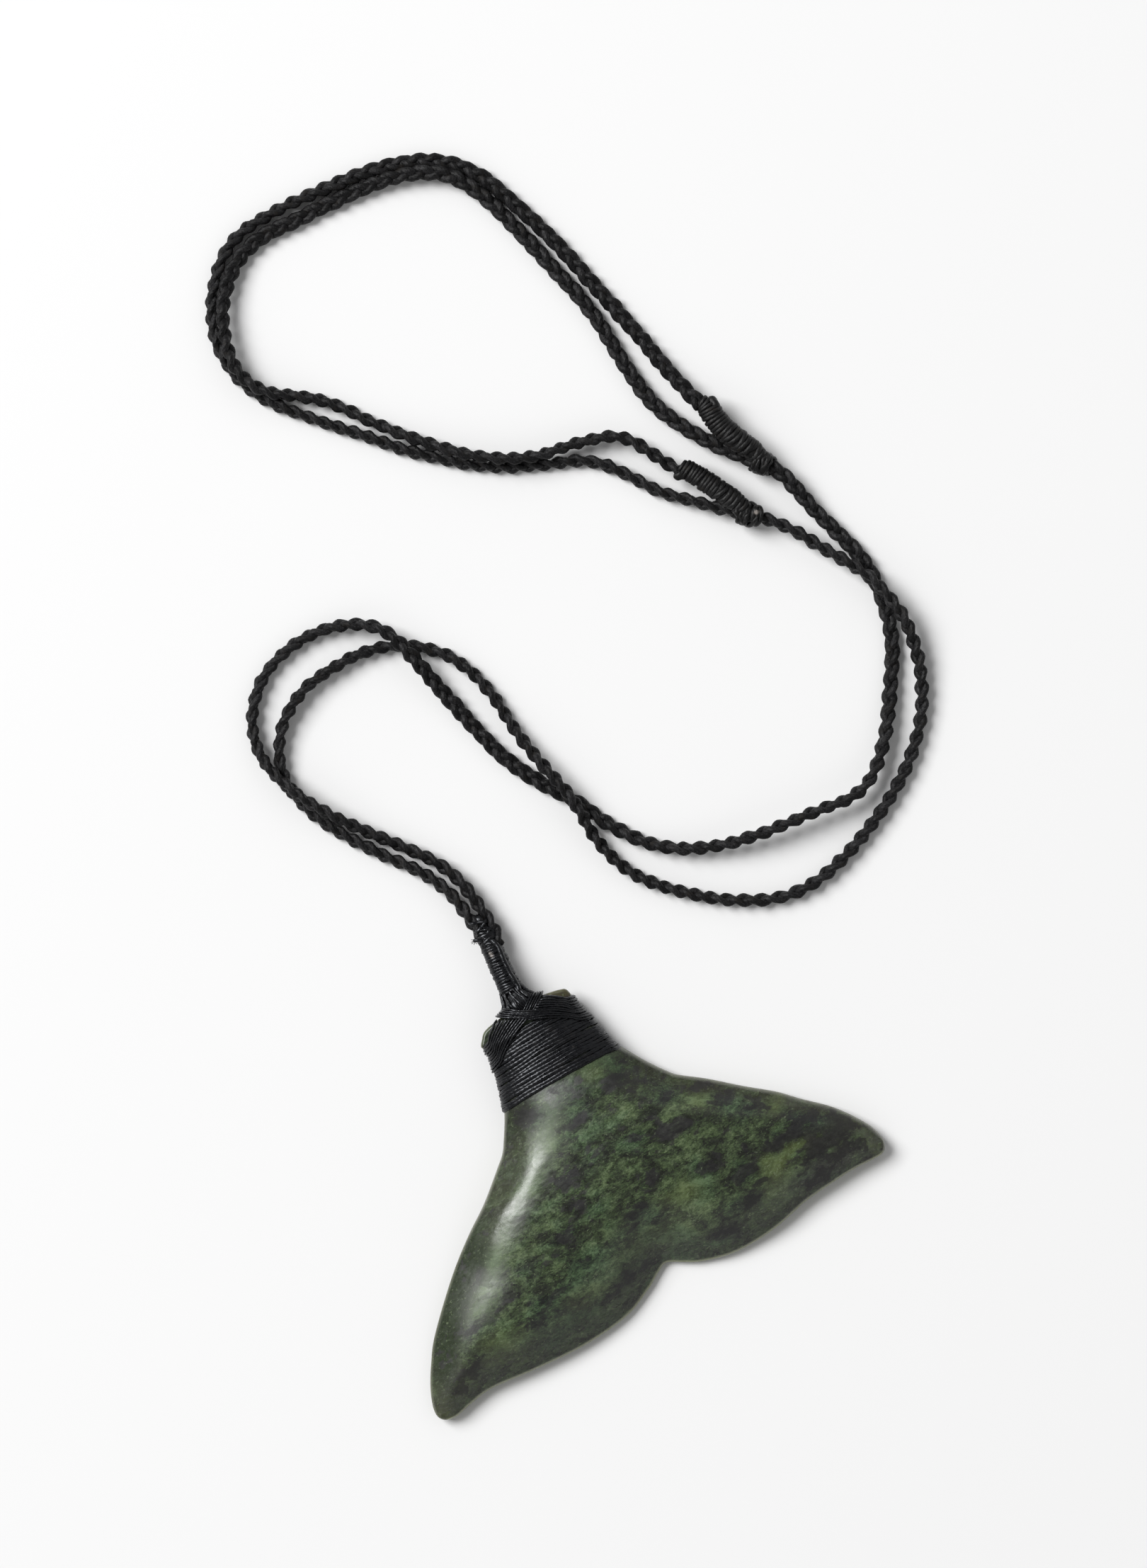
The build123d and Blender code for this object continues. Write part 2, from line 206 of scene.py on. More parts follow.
class Shape:
    """Collects tubes into one mesh, with UVs in millimetres along and shares around."""

    def __init__(self):
        self.verts = []
        self.faces = []
        self.uvs = []
        self.shades = []
        self.total = 0

    def tube(
        self, line, width, depth, sides=8, frames=None, closed=False, taper=0.0, shade=0.5, uneven=0.0,
        grain=1.2,
    ):
        """A tube of elliptical section. width and depth are half sizes, single or one a point.

        taper rounds off its ends over that length. uneven pushes its surface in and out by that
        share of its size, in lumps of 1 / grain.
        """
        side, upward = frames if frames is not None else carried_frames(line)
        count = len(line)
        along = lengths_along(line)
        halves = np.array([np.broadcast_to(width, count), np.broadcast_to(depth, count)], float)
        if taper > 0:
            inward = np.clip(np.minimum(along, along[-1] - along) / taper, 0.0, 1.0)
            halves *= np.sqrt(np.clip(1 - (1 - inward) ** 2, 0.03, 1.0))
        angle = np.linspace(0.0, TURN, sides, endpoint=False)
        across = (halves[0][:, None] * np.cos(angle))[:, :, None]
        rise = (halves[1][:, None] * np.sin(angle))[:, :, None]
        spread = side[:, None] * across + upward[:, None] * rise
        if uneven > 0:
            lumps = noise_at(*((line[:, None] + spread).reshape(-1, 3) * grain).T)
            spread *= (1 + 2 * uneven * lumps.reshape(count, sides))[:, :, None]
        self.verts.append((line[:, None] + spread).reshape(-1, 3))
        self.shades.append(np.full(count * sides, shade))
        self.add_faces(along, sides, closed)
        self.total += count * sides

    def add_faces(self, along, sides, closed):
        """Quads between the rings of points, and a face over each open end."""
        count = len(along)
        spans = count if closed else count - 1
        corners = np.array([(0, 0), (0, 1), (1, 1), (1, 0)]).T[:, None]
        ring, place = np.mgrid[:spans, :sides].reshape(2, -1, 1) + corners
        marks = np.append(along, along[-1] + along[1])
        self.faces.extend((self.total + ring % count * sides + place % sides).tolist())
        self.uvs.append(np.stack([marks[ring], place / sides], axis=-1).reshape(-1, 2))
        if not closed:
            for ring, order in ((0, -1), (count - 1, 1)):
                place = np.arange(sides)[::order]
                self.faces.append((self.total + ring * sides + place).tolist())
                self.uvs.append(np.column_stack([np.full(sides, along[ring]), place / sides]))

    def make(self, name, material, node):
        verts = np.vstack(self.verts)
        verts[:, 2] = np.maximum(verts[:, 2], FLOOR_GAP)
        mesh = bpy.data.meshes.new(name)
        mesh.from_pydata((verts * MM).tolist(), [], self.faces)
        corners = np.vstack(self.uvs).astype(np.float32)
        mesh.uv_layers.new(name="UVMap").data.foreach_set("uv", corners.ravel())
        point_values(mesh, "shade", np.concatenate(self.shades))
        point_values(mesh, "wax_and_glint", patch_sum(verts[:, 0], verts[:, 1], WAX_AND_GLINT_SPOTS))
        return put_in(name, mesh, material, node)


# Helpers for materials

class Nodes:
    """Short names for adding and joining the shader nodes of a new material or world."""

    def __init__(self, owner, shader="Principled BSDF"):
        owner.use_nodes = True
        self.owner = owner
        self.tree = owner.node_tree
        self.shader = self.tree.nodes[shader]

    def put(self, value, socket):
        """Gives a socket a number, a vector, a colour or the output of another node."""
        if isinstance(value, bpy.types.NodeSocket):
            self.tree.links.new(value, socket)
        else:
            socket.default_value = (*value, 1.0) if socket.type == "RGBA" else value

    def add(self, kind, inputs, output=0, **settings):
        """Adds a node, with its inputs by name or number, and gives one of its outputs."""
        node = self.tree.nodes.new("ShaderNode" + kind)
        for name, value in settings.items():
            setattr(node, name, value)
        for name, value in inputs.items():
            self.put(value, node.inputs[name])
        return node.outputs[output]

    def texture(self, place, scale, detail, rough, output="Fac"):
        inputs = {"Vector": place, "Scale": scale, "Detail": detail, "Roughness": rough}
        return self.add("TexNoise", inputs, output)

    def combine(self, operation, *values):
        return self.add("Math", dict(enumerate(values)), operation=operation)

    def weighted(self, *terms):
        """The sum of values, each times its weight."""
        total = None
        for value, weight in terms:
            value = value if weight == 1 else self.combine("MULTIPLY", value, weight)
            total = value if total is None else self.combine("ADD", total, value)
        return total

    def attribute(self, name, weight=1):
        return self.weighted((self.add("Attribute", {}, "Fac", attribute_name=name), weight))

    def ramp(self, value, stops):
        """Colours by value, from stops: place and colour."""
        colour = self.add("ValToRGB", {"Fac": value}, "Color")
        elements = colour.node.color_ramp.elements
        elements.remove(elements[-1])
        for index, (place, shade) in enumerate(stops):
            element = elements.new(place) if index else elements[0]
            element.position = place
            element.color = (*shade, 1.0)
        return colour

    def mix(self, share, first, second, blend="MIX"):
        return self.add("Mix", {0: share, 6: first, 7: second}, 2, data_type="RGBA", blend_type=blend)

    def span(self, *values):
        """A value carried from one range (low, high) to another."""
        return self.add("MapRange", dict(enumerate(values)))

    def bump(self, height, strength, distance):
        inputs = {"Height": height, "Strength": strength, "Distance": distance}
        self.put(self.add("Bump", inputs, "Normal"), self.shader.inputs["Normal"])

    def millimetres(self, stretch=(1.0, 1.0, 1.0)):
        """The object's own coordinates, in millimetres."""
        place = self.add("TexCoord", {}, "Object")
        return self.add("Mapping", {"Vector": place, "Scale": tuple(share / MM for share in stretch)})

    def warped(self, place, scale, amount):
        """Coordinates pushed about by a slow noise."""
        push = self.texture(place, scale, 3.0, 0.5, "Color")
        push = self.add("VectorMath", {0: push, 1: (0.5, 0.5, 0.5)}, operation="SUBTRACT")
        push = self.add("VectorMath", {0: push, "Scale": amount}, operation="SCALE")
        return self.add("VectorMath", {0: place, 1: push}, operation="ADD")

    def finish(self, **values):
        """Sets the shader's own sockets, with _ in their names for a space."""
        for name, value in values.items():
            self.put(value, self.shader.inputs[name.replace("_", " ")])
        return self.owner


def new_material(name):
    return Nodes(bpy.data.materials.new(name))


def cord_material(name, dark, pale, brown, rough, gloss, twist, fuzz, tinge=(1.0, 1.0, 1.0)):
    """Waxed thread: fine fibres twisted along each strand, pale waxy spots with a few painted glints, and
    brown tints.
    """
    made = new_material(name)
    place = made.millimetres()
    grain = made.texture(place, 6.5, 6.0, 0.68)
    speck = made.texture(place, 11.0, 2.0, 0.5)
    patches = made.texture(place, 0.9, 3.0, 0.6)
    on_thread = made.add("UVMap", {}, uv_map="UVMap")
    along, around = (made.add("SeparateXYZ", {0: on_thread}, index) for index in (0, 1))
    turned = made.weighted((along, 1.3), (around, 5.0), (patches, 2.0))
    fibre = made.combine("SINE", made.weighted((turned, TURN)))
    wax_and_glint = made.attribute("wax_and_glint")
    strand = made.combine("SUBTRACT", made.attribute("shade"), 0.5)
    tone = made.weighted((fibre, 0.03), (grain, 1), (strand, 0.16))
    colour = made.ramp(tone, [(0.30, dark), (0.48, dark), (0.68, pale)])
    colour = made.mix(made.span(patches, 0.56, 0.72, 0.0, 0.6), colour, brown)
    colour = made.mix(made.span(speck, 0.67, 0.76, 0.0, 0.5), colour, (0.11, 0.11, 0.12))
    wax_and_glint_mix = made.weighted((wax_and_glint, 1), (made.combine("SUBTRACT", grain, 0.5), 1.6))
    wax_and_glint_mix = made.span(made.combine("MULTIPLY", wax_and_glint, wax_and_glint_mix), 0.12, 0.75, 0.0, 1.0)
    worn = made.weighted((patches, 0.7), (grain, 0.5))
    made.bump(made.weighted((fibre, twist), (grain, fuzz)), 0.7, 0.00009)
    return made.finish(
        Base_Color=made.mix(wax_and_glint_mix, colour, (0.40, 0.36, 0.33)),
        Roughness=made.span(worn, 0.45, 0.80, rough - 0.08, rough + 0.22),
        IOR=1.48, Specular_IOR_Level=gloss, Specular_Tint=tinge,
    )


plait_black = cord_material(
    "plait_black", dark=(0.0055, 0.0054, 0.0057), pale=(0.028, 0.0273, 0.0288), brown=(0.015, 0.0125, 0.01),
    rough=0.42, gloss=0.16, twist=0.22, fuzz=0.55,
)
thread_black = cord_material(
    "thread_black", dark=(0.001, 0.001, 0.0014), pale=(0.004, 0.004, 0.0056), brown=(0.006, 0.0045, 0.0035),
    rough=0.22, gloss=0.45, twist=0.10, fuzz=0.30, tinge=(0.92, 0.95, 1.0),
)
knot_black = cord_material(
    "knot_black", dark=(0.003, 0.0029, 0.003), pale=(0.016, 0.0155, 0.016), brown=(0.014, 0.0105, 0.0065),
    rough=0.34, gloss=0.30, twist=0.10, fuzz=0.80,
)


# Camera, floor and light

def place_camera():
    lens = bpy.data.cameras.new("view")
    lens.sensor_width = 36.0
    lens.lens = lens.sensor_width * (CAMERA_HEIGHT - SUBJECT_LEVEL) / VIEW_LONG_SIDE
    lens.clip_start = 0.05
    lens.clip_end = 5.0
    camera = placed("view", lens)
    camera.location = (VIEW_MIDDLE[0] * MM, VIEW_MIDDLE[1] * MM, CAMERA_HEIGHT * MM)
    camera.rotation_euler = (0.0, 0.0, VIEW_TURN)
    bpy.context.scene.camera = camera


def place_floor():
    mesh = bpy.data.meshes.new("floor")
    corners = [(x * FLOOR_REACH, y * FLOOR_REACH, 0) for x, y in ((-1, -1), (1, -1), (1, 1), (-1, 1))]
    mesh.from_pydata(corners, [], [(0, 1, 2, 3)])
    paper = new_material("floor_paper")
    mesh.materials.append(paper.finish(Base_Color=(0.86, 0.86, 0.86), Roughness=0.9, Specular_IOR_Level=0.1))
    placed("floor", mesh)


def place_light():
    world = bpy.data.worlds.new("studio")
    bpy.context.scene.world = world
    room = Nodes(world, "Background")
    height = room.add("SeparateXYZ", {0: room.add("TexCoord", {}, "Generated")}, "Z")
    room.finish(Color=room.ramp(height, [(place, (level, level, level)) for place, level in ROOM_LEVELS]))
    lamp = bpy.data.lights.new("window", "AREA")
    lamp.shape = "RECTANGLE"
    lamp.size = lamp.size_y = LAMP_SIDE
    lamp.energy = LAMP_POWER
    towards = Vector((*LAMP_HEADING, 0)).normalized() * math.cos(LAMP_RISE)
    towards.z = math.sin(LAMP_RISE)
    held = placed("window", lamp)
    held.location = LIT_PLACE + towards * LAMP_DISTANCE
    held.rotation_mode = "QUATERNION"
    held.rotation_quaternion = (-towards).to_track_quat("-Z", "Y")
    bpy.context.scene.view_settings.view_transform = "Standard"


place_camera()
place_floor()
place_light()


# Cords

# The routes of the two cords, from the stem to the slide knot that each ends in.
ROUTE_ONE = [
    (3.15, 40.2, 2.1), (3.15, 46.2, 2), (1.6, 52, 1.2), (-2.4, 57.6, 1.2), (-5.9, 62.4, 1.8),
    (-8.9, 66.8, 3.1), (-11.7, 72.6, 3.1), (-12.8, 78.4, 1.6), (-10.9, 84, 1), (-5.9, 88.3, 1),
    (1.2, 89.7, 1), (7.9, 88, 1.5), (11.9, 84.6, 3.1), (13.2, 79, 3.1), (14.1, 73.2, 1.5), (15.3, 67, 1),
    (16.6, 60.6, 1), (19.2, 54.9, 1), (22.5, 49.8, 1), (25, 43.8, 1), (29, 38, 1.2), (35.4, 34.2, 2.1),
    (43, 32.2, 3), (50.6, 31.2, 3.2), (57.8, 29.7, 2.7), (63.6, 33.8, 1.8), (68.4, 40.2, 1.2),
    (72.6, 46.4, 1), (74.7, 52.4, 1), (75.4, 58.8, 1), (74, 64.4, 1), (72.5, 69.8, 1.6),
    (71.2, 75.2, 2.3), (67.9, 79.2, 2.3), (64, 84.6, 1.5), (60.4, 91.6, 1), (59.8, 99.4, 1),
    (60.2, 107.2, 1), (58.6, 115.2, 1), (57, 123, 1), (55.2, 130.4, 1.1), (52.2, 135.8, 1.8),
    (46.2, 138.7, 1.7), (38.6, 139.9, 1.1), (30.8, 140.6, 1), (23.4, 141.3, 1.2), (17.4, 137.9, 1.9),
    (13.8, 132.4, 2.4), (12.3, 126.2, 2.9), (14.6, 121.5, 2.5), (19.4, 118.4, 1.3), (22.8, 114.8, 1),
    (25.2, 110.6, 1.1), (29.4, 105.2, 1.6), (34.6, 99.4, 2.3), (41.6, 94.6, 2.7), (49, 93.4, 2),
    (55.2, 91, 2), (57.6, 84.9, 2.4), (59.2, 82, 2.4),
]
ROUTE_TWO = [
    (1.05, 40.2, 2.1), (1.05, 46.2, 2.1), (-0.9, 51.8, 1.2), (-4.9, 57.2, 1), (-8.6, 63.2, 1),
    (-11, 68.6, 1), (-11.6, 74.6, 1), (-8.9, 80, 1.4), (-3.2, 83.6, 1.7), (3.6, 83.9, 1.4),
    (9.4, 83.2, 1), (14.6, 80.4, 1), (18.4, 76, 1), (20.2, 69.8, 1), (20.2, 63.2, 1.5), (21, 56.6, 3.1),
    (22.4, 50, 3.1), (21.8, 43.8, 1.8), (23.6, 36.9, 1), (28.6, 30.9, 1), (34.6, 25.8, 1),
    (41.8, 22.3, 1), (49.2, 22.8, 1), (57, 25.4, 1), (64.6, 29.2, 1), (70.6, 34.6, 1), (74.4, 41.4, 1.6),
    (75.8, 48.6, 3.1), (74.4, 56.2, 3.1), (71.3, 61.9, 2.2), (69.2, 66, 2.4), (66.4, 70, 2.3),
    (61.8, 74, 2.3), (58.2, 77.9, 1.8), (54.9, 81.2, 1.2), (52.6, 85.4, 1), (49, 90.4, 1), (42.6, 93, 1),
    (36, 96.6, 1), (30.6, 101.4, 1), (25.2, 106.8, 1), (19.8, 112.7, 1), (14.8, 119, 1), (11.9, 125.6, 1),
    (12, 132.4, 1), (15.7, 138.8, 1), (21.6, 143.2, 1), (29, 143.3, 1), (36.8, 142.3, 1), (44.6, 141, 1),
    (51.4, 138.4, 1), (56.2, 133.6, 1), (58.6, 126.4, 1), (60.7, 118.9, 1), (62.2, 111, 1),
    (63.9, 103, 1), (65, 95.4, 1.5), (66, 90.2, 2.6),
]


def route_line(name, route):
    """The smooth line of a route, in metres, read from a NURBS spline."""
    curve = bpy.data.curves.new(name + "_route", "CURVE")
    curve.dimensions = "3D"
    curve.resolution_u = 16
    spline = curve.splines.new("NURBS")
    spline.points.add(len(route) - 1)
    for point, place in zip(spline.points, route):
        point.co = (place[0] * MM, place[1] * MM, place[2] * MM, 1.0)
    spline.order_u = 3
    spline.use_endpoint_u = True
    held = bpy.data.objects.new(name + "_route", curve)
    mesh = bpy.data.meshes.new_from_object(held)
    line = np.array([tuple(vertex.co) for vertex in mesh.vertices])
    bpy.data.objects.remove(held)
    bpy.data.meshes.remove(mesh)
    bpy.data.curves.remove(curve)
    return line


# A plait of three strands, about 2.3 wide over its face and 1.6 seen from its side.
PLAIT_PITCH, PLAIT_REACH, PLAIT_LIFT = 7.0, 0.56, 0.31
STRAND_WIDTH, STRAND_DEPTH = 0.60, 0.51
PLAIT_STEP = 0.36
# Each change of the plait's roll is eased over this many steps.
ROLL_EASE = 41


def plait(name, line, start, roll_stops, seed):
    """Three strands woven flat over and under each other, the flat turning slowly as it goes.

    start is where the line begins, in millimetres along the cord; roll_stops are along it too.
    """
    side, upward = level_frames(line)
    along = lengths_along(line)
    roll = np.radians(np.interp(along + start, *zip(*roll_stops)))
    kernel = np.hanning(ROLL_EASE)
    roll = np.convolve(np.pad(roll, ROLL_EASE // 2, "edge"), kernel / kernel.sum(), mode="valid")[:, None]
    across = side * np.cos(roll) + upward * np.sin(roll)
    facing = upward * np.cos(roll) - side * np.sin(roll)
    turn = TURN * along / PLAIT_PITCH + wander(len(line), 0.9, 60.0, seed)
    shape = Shape()
    for strand in range(3):
        phase = turn + strand * TURN / 3
        slack = 1.0 + wander(len(line), 0.10, 14.0, seed + strand + 1.0)
        swell = 1.0 + wander(len(line), 0.16, 9.0, seed + strand + 5.0)
        reach = PLAIT_REACH * slack * np.sin(phase)
        centre = beside(line, across, reach, facing, PLAIT_LIFT * np.sin(2 * phase))
        shape.tube(
            centre, STRAND_WIDTH * swell, STRAND_DEPTH * swell, 11, frames=(across, facing), taper=0.5,
            shade=0.2 + 0.3 * strand, uneven=0.09, grain=1.3,
        )
    return shape.make(name, plait_black, name.replace("plait", "cord"))


def nudged(line, stops):
    """A line moved to its left, by amounts given at places along it."""
    left = unit(np.cross(UP, tangents(line)))
    return line + left * np.interp(lengths_along(line), *zip(*stops))[:, None]


# For each cord: its route, the points that carry its plait on into the stem and into its knot,
# the plait's roll in degrees at places along it, its moves to the left there, seed and length.
for name, route, before, after, roll_stops, nudges, seed, length in (
    ("plait_one", ROUTE_ONE, [(2.55, 37.8, 2.6), (2.9, 39.0, 2.4)], [(60.0, 80.9, 2.6)], [
        (0, 50), (12, 62), (25, 66), (40, 70), (66, 70), (74, 62), (83, 8), (104, 2), (116, 40), (128, 64),
        (158, 66), (170, 20), (182, 5), (205, 15), (220, 5), (250, 0), (296, 10), (306, 45), (316, 62),
        (345, 66), (376, 66), (386, 50),
    ], [
        (0, 0), (160, 0), (176, -0.16), (184, 0.15), (191, 0.6), (199, 0.58), (206, 0.05), (216, 0.12),
        (224, -0.1), (232, -0.2), (240, 0), (328, 0), (336, -0.12), (344, 0), (366, -0.18), (372, -0.3),
        (380, -0.25), (391, 0),
    ], 11.0, 0.390),
    ("plait_two", ROUTE_TWO, [(0.85, 37.8, 2.6), (0.95, 39.0, 2.4)], [(66.4, 88.2, 2.9)], [
        (0, 55), (12, 62), (25, 66), (64, 68), (100, 64), (128, 62), (160, 60), (176, 58), (190, 64),
        (204, 68), (224, 68), (240, 66), (290, 68), (318, 62), (330, 15), (345, 0), (380, 5), (392, 0),
    ], [
        (0, 0), (34, 0), (42, -0.25), (50, -0.32), (58, -0.12), (90, -0.08), (100, 0), (188, 0.1), (200, 0.3),
        (208, 0.1), (214, 0), (260, 0), (268, -0.5), (276, -0.5), (284, 0), (366, 0), (376, -0.14),
        (386, -0.18), (393, 0),
    ], 23.0, 0.392),
):
    line = at_equal_steps(route_line(name, route) / MM, PLAIT_STEP)
    drawn = at_equal_steps(np.vstack([before, nudged(line, nudges), after]), PLAIT_STEP)
    start = -lengths_along(np.vstack([before, line[:1]]))[-1]
    plait(name, drawn, start, roll_stops, seed)


# Stone

# Outline of the stone, anticlockwise from the left side of the waist: (across, up).
OUTLINE_LEFT = [
    (-8.75, 17.6), (-9.6, 16.1), (-11, 14), (-12.2, 12.4), (-14, 10.9), (-18, 7.75), (-22, 5.15),
    (-26, 2.2), (-30, -1.25), (-34, -5.1), (-36, -7.7), (-37.5, -9.95), (-38.6, -12.1),
]
OUTLINE_LEFT_TIP = [
    (-39.15, -13.9), (-38.95, -15.1), (-38, -15.85), (-36.4, -16),
]
OUTLINE_TRAILING = [
    (-34.4, -15.6), (-30.5, -15.2), (-24, -16.05), (-16, -16.75), (-9, -16.3), (-4.3, -14.6),
    (-2, -13.35), (-0.25, -12.7), (1.9, -13.9), (4, -15.05), (7.8, -16.25), (11.5, -16.6), (16, -16.35),
    (21, -15.4), (25, -15.1), (29, -14.95), (32.6, -15.2),
]
OUTLINE_RIGHT_TIP = [
    (34.1, -15.1), (34.85, -14.2), (35, -12.9),
]
OUTLINE_RIGHT = [
    (34.15, -10.3), (31.5, -6.2), (28, -2.6), (25.6, 0), (22, 3.1), (18, 6.75), (15, 9.15), (13.9, 10.4),
    (12, 13.25), (10.4, 16.2), (9.6, 17.8),
]
OUTLINE_HEAD = [
    (8.95, 19.8), (8.45, 21.8), (7.85, 23.8), (7.6, 25.3), (7.8, 26.4), (7.6, 27.7), (6.9, 28.15),
    (5.2, 28.6), (2.9, 29), (0, 29.1), (-3, 29), (-5.3, 28.6), (-6.3, 27.75), (-6.95, 26.85),
    (-6.35, 26.1), (-6.3, 25.1), (-6.75, 23.2), (-7.35, 21.3), (-7.95, 19.4),
]
# Crown of the flukes, a row for each place across: height up the stone of its highest line, the
# level there, and how fast it falls away above and below it (curvatures per millimetre).
CROWN_ROWS = [
    (-40, -13.5, 3, 0.05, 0.02), (-34, -11, 4.2, 0.036, 0.02), (-28, -7.6, 5.35, 0.03, 0.018),
    (-22, -4, 6.3, 0.028, 0.016), (-17, -0.4, 6.85, 0.036, 0.013), (-13, 1.6, 7.1, 0.028, 0.012),
    (-9, 3.2, 7.2, 0.016, 0.012), (-4, 4, 7.3, 0.011, 0.012), (0, 4.2, 7.32, 0.01, 0.012),
    (4, 4, 7.3, 0.012, 0.012), (10, 2.6, 7.05, 0.02, 0.013), (16, 0.4, 6.5, 0.028, 0.014),
    (22, -3.4, 5.6, 0.036, 0.017), (28, -7.8, 4.5, 0.042, 0.02), (36, -12.5, 3, 0.05, 0.025),
]
# Crease where the bevel of the left leading edge meets the crown: place, slope and reach of the
# crown's roll down to it, and how softly the two meet.
CREASE_ROWS = [
    (-3, 18.5, 0.03, 3, 1.9), (-3.8, 15.6, 0.04, 3.5, 1.9), (-5.5, 12.9, 0.06, 3.5, 1.9),
    (-7.5, 10.8, 0.09, 3.4, 1.8), (-9.6, 9.1, 0.18, 3, 0.7), (-11.7, 7.5, 0.18, 2.8, 0.6),
    (-14.4, 6.3, 0.26, 2.4, 0.2), (-17.2, 5.2, 0.29, 2.8, 0.2), (-20.1, 3.3, 0.26, 3.8, 0.4),
    (-22.9, 0, 0.21, 4.8, 1.1), (-26.1, -3.2, 0.06, 4.8, 1.3), (-29.2, -6.4, -0.05, 4, 1.5),
    (-33, -9.8, -0.03, 3, 1.6), (-36.5, -13.2, 0, 3, 1.4),
]
LEAD_SLOPE = 0.82
# The polished band along the left wing where the lamp's highlight lies, softer than the stone round it; its
# paler green is painted highlight.
BAND = [
    (-3.3, 13.7), (-5.8, 11.2), (-9.3, 8.3), (-13.9, 5.6), (-18.4, 2.4), (-21.7, -0.4), (-24.7, -3.1),
    (-26.4, -4.5),
]
RIGHT_RIM, RIGHT_SLOPE, RIGHT_BLEND = 2.3, 1.05, 0.9
TRAIL_SLOPE, TRAIL_BLEND = 0.70, 1.7
# Level of the trailing edge, by place across: thinner by the notch, thicker on the right wing.
TRAIL_RIM_ROWS = [
    (-30, 2.15), (-20, 2.1), (-15, 1.8), (-7, 1.4), (5, 1.35), (11, 1.75), (18, 2.4), (26, 2.6),
]
BACK_EDGE, BACK_BEVEL, RIM_RADIUS = 0.7, 2.0, 0.38
FALL_REACH, FALL_FADE = 9.0, 3.0
# Edges of the head under its ears: height up the stone, left edge, right edge.
HEAD_ROWS = [
    (14.0, -11.0, 11.6), (17.6, -8.75, 9.5), (19.6, -7.95, 9.0), (21.6, -7.3, 8.6), (23.8, -6.6, 7.85),
    (25.2, -6.25, 7.55), (26.6, -6.05, 7.3), (27.7, -5.5, 6.6), (28.6, -4.6, 4.9), (29.1, -3.0, 3.2),
]
HEAD_FOOT, HEAD_BLEND, HEAD_MIDDLE = 17.6, 4.2, 1.2
HEAD_BACK, HEAD_RIM, HEAD_CREST, HEAD_DROOP = 1.3, 2.4, 6.1, 0.07
FRONT_SQUARE, BACK_SQUARE = 2.1, 3.0
EAR_FOOT, EAR_SPREAD, EAR_TOP, EAR_BLEND = 25.0, 0.30, 3.4, 0.5
# Unevenness of the hand-worked surface: fineness, seed, size.
HAND_WORK = [(0.13, 3.7, 0.10), (0.33, 9.1, 0.035)]
# The plan: rings of points this far in from the outline, less by the ears, then an even grid.
INSETS = [0.0, 0.02, 0.07, 0.15, 0.27, 0.43, 0.62, 0.85]
GRID_ACROSS, GRID_UP, GRID_STEP = (-39.5, 35.5), (-17.0, 29.5), 0.42


def nearest_on(points, line):
    """Distance from each point to an open line, and how far along the line the nearest place is."""
    nearest = np.full(len(points), 1e9)
    along = np.zeros(len(points))
    for start, end, start_at in zip(line, line[1:], lengths_along(line)):
        run = end - start
        share = np.clip(((points - start) @ run) / (run @ run), 0.0, 1.0)
        away = np.linalg.norm(points - start - share[:, None] * run, axis=1)
        along = np.where(away < nearest, start_at + share * math.hypot(*run), along)
        nearest = np.minimum(nearest, away)
    return nearest, along


def distance_to(points, line):
    return nearest_on(points, line)[0]


def distance_to_ring(points, ring):
    return distance_to(points, np.vstack([ring, ring[:1]]))


def head_edges(up):
    """Left and right edge of the head under its ears, and the level of its crest."""
    marks, left, right = zip(*HEAD_ROWS)
    return np.interp(up, marks, left), np.interp(up, marks, right), HEAD_CREST - HEAD_DROOP * (up - HEAD_FOOT)


def crown_sweep(x, y):
    """Height of the crown before its edges are cut."""
    fine = curve_through(CROWN_ROWS, 0.5)
    top_at, level, above, below = sampled(x, fine[:, 0], fine[:, 1:]).T
    rise = y - top_at
    near = np.clip(rise, 0.0, FALL_REACH)
    far = np.maximum(rise - FALL_REACH, 0.0)
    height = level - 0.5 * above * near ** 2 - above * FALL_REACH * FALL_FADE * (1 - np.exp(-far / FALL_FADE))
    return height - 0.5 * below * np.minimum(rise, 0.0) ** 2


def lead_bevel(points, left_line):
    """Depth of the roll to the crease, level of the bevel outside it, and how softly they meet."""
    fine = curve_through(CREASE_ROWS, 0.5)
    crease_gap, crease_along = nearest_on(fine[:, :2], left_line)
    rim = crown_sweep(fine[:, 0], fine[:, 1]) - fine[:, 2] * fine[:, 3] - LEAD_SLOPE * crease_gap
    gap, along = nearest_on(points, left_line)
    columns = np.column_stack([crease_gap, rim, fine[:, 2:]])
    width, rim, slope, reach, softness = sampled(along, crease_along, columns).T
    within = gap - width
    roll = np.where(within > 0, np.exp(-np.maximum(within, 0) / reach), 1 - within / reach)
    return slope * reach * roll, rim + LEAD_SLOPE * gap, softness


def crown_height(points, left_line, right_gap, trail_gap):
    """Top of the flukes: the crown, cut by the bevels along their three edges."""
    x, y = points.T
    roll, bevel, softness = lead_bevel(points, left_line)
    height = soft_min(crown_sweep(x, y) - roll, bevel, softness)
    height = soft_min(height, RIGHT_RIM + RIGHT_SLOPE * right_gap, RIGHT_BLEND)
    trail_rim = np.interp(x, *zip(*TRAIL_RIM_ROWS))
    return soft_min(height, trail_rim + TRAIL_SLOPE * trail_gap, TRAIL_BLEND)


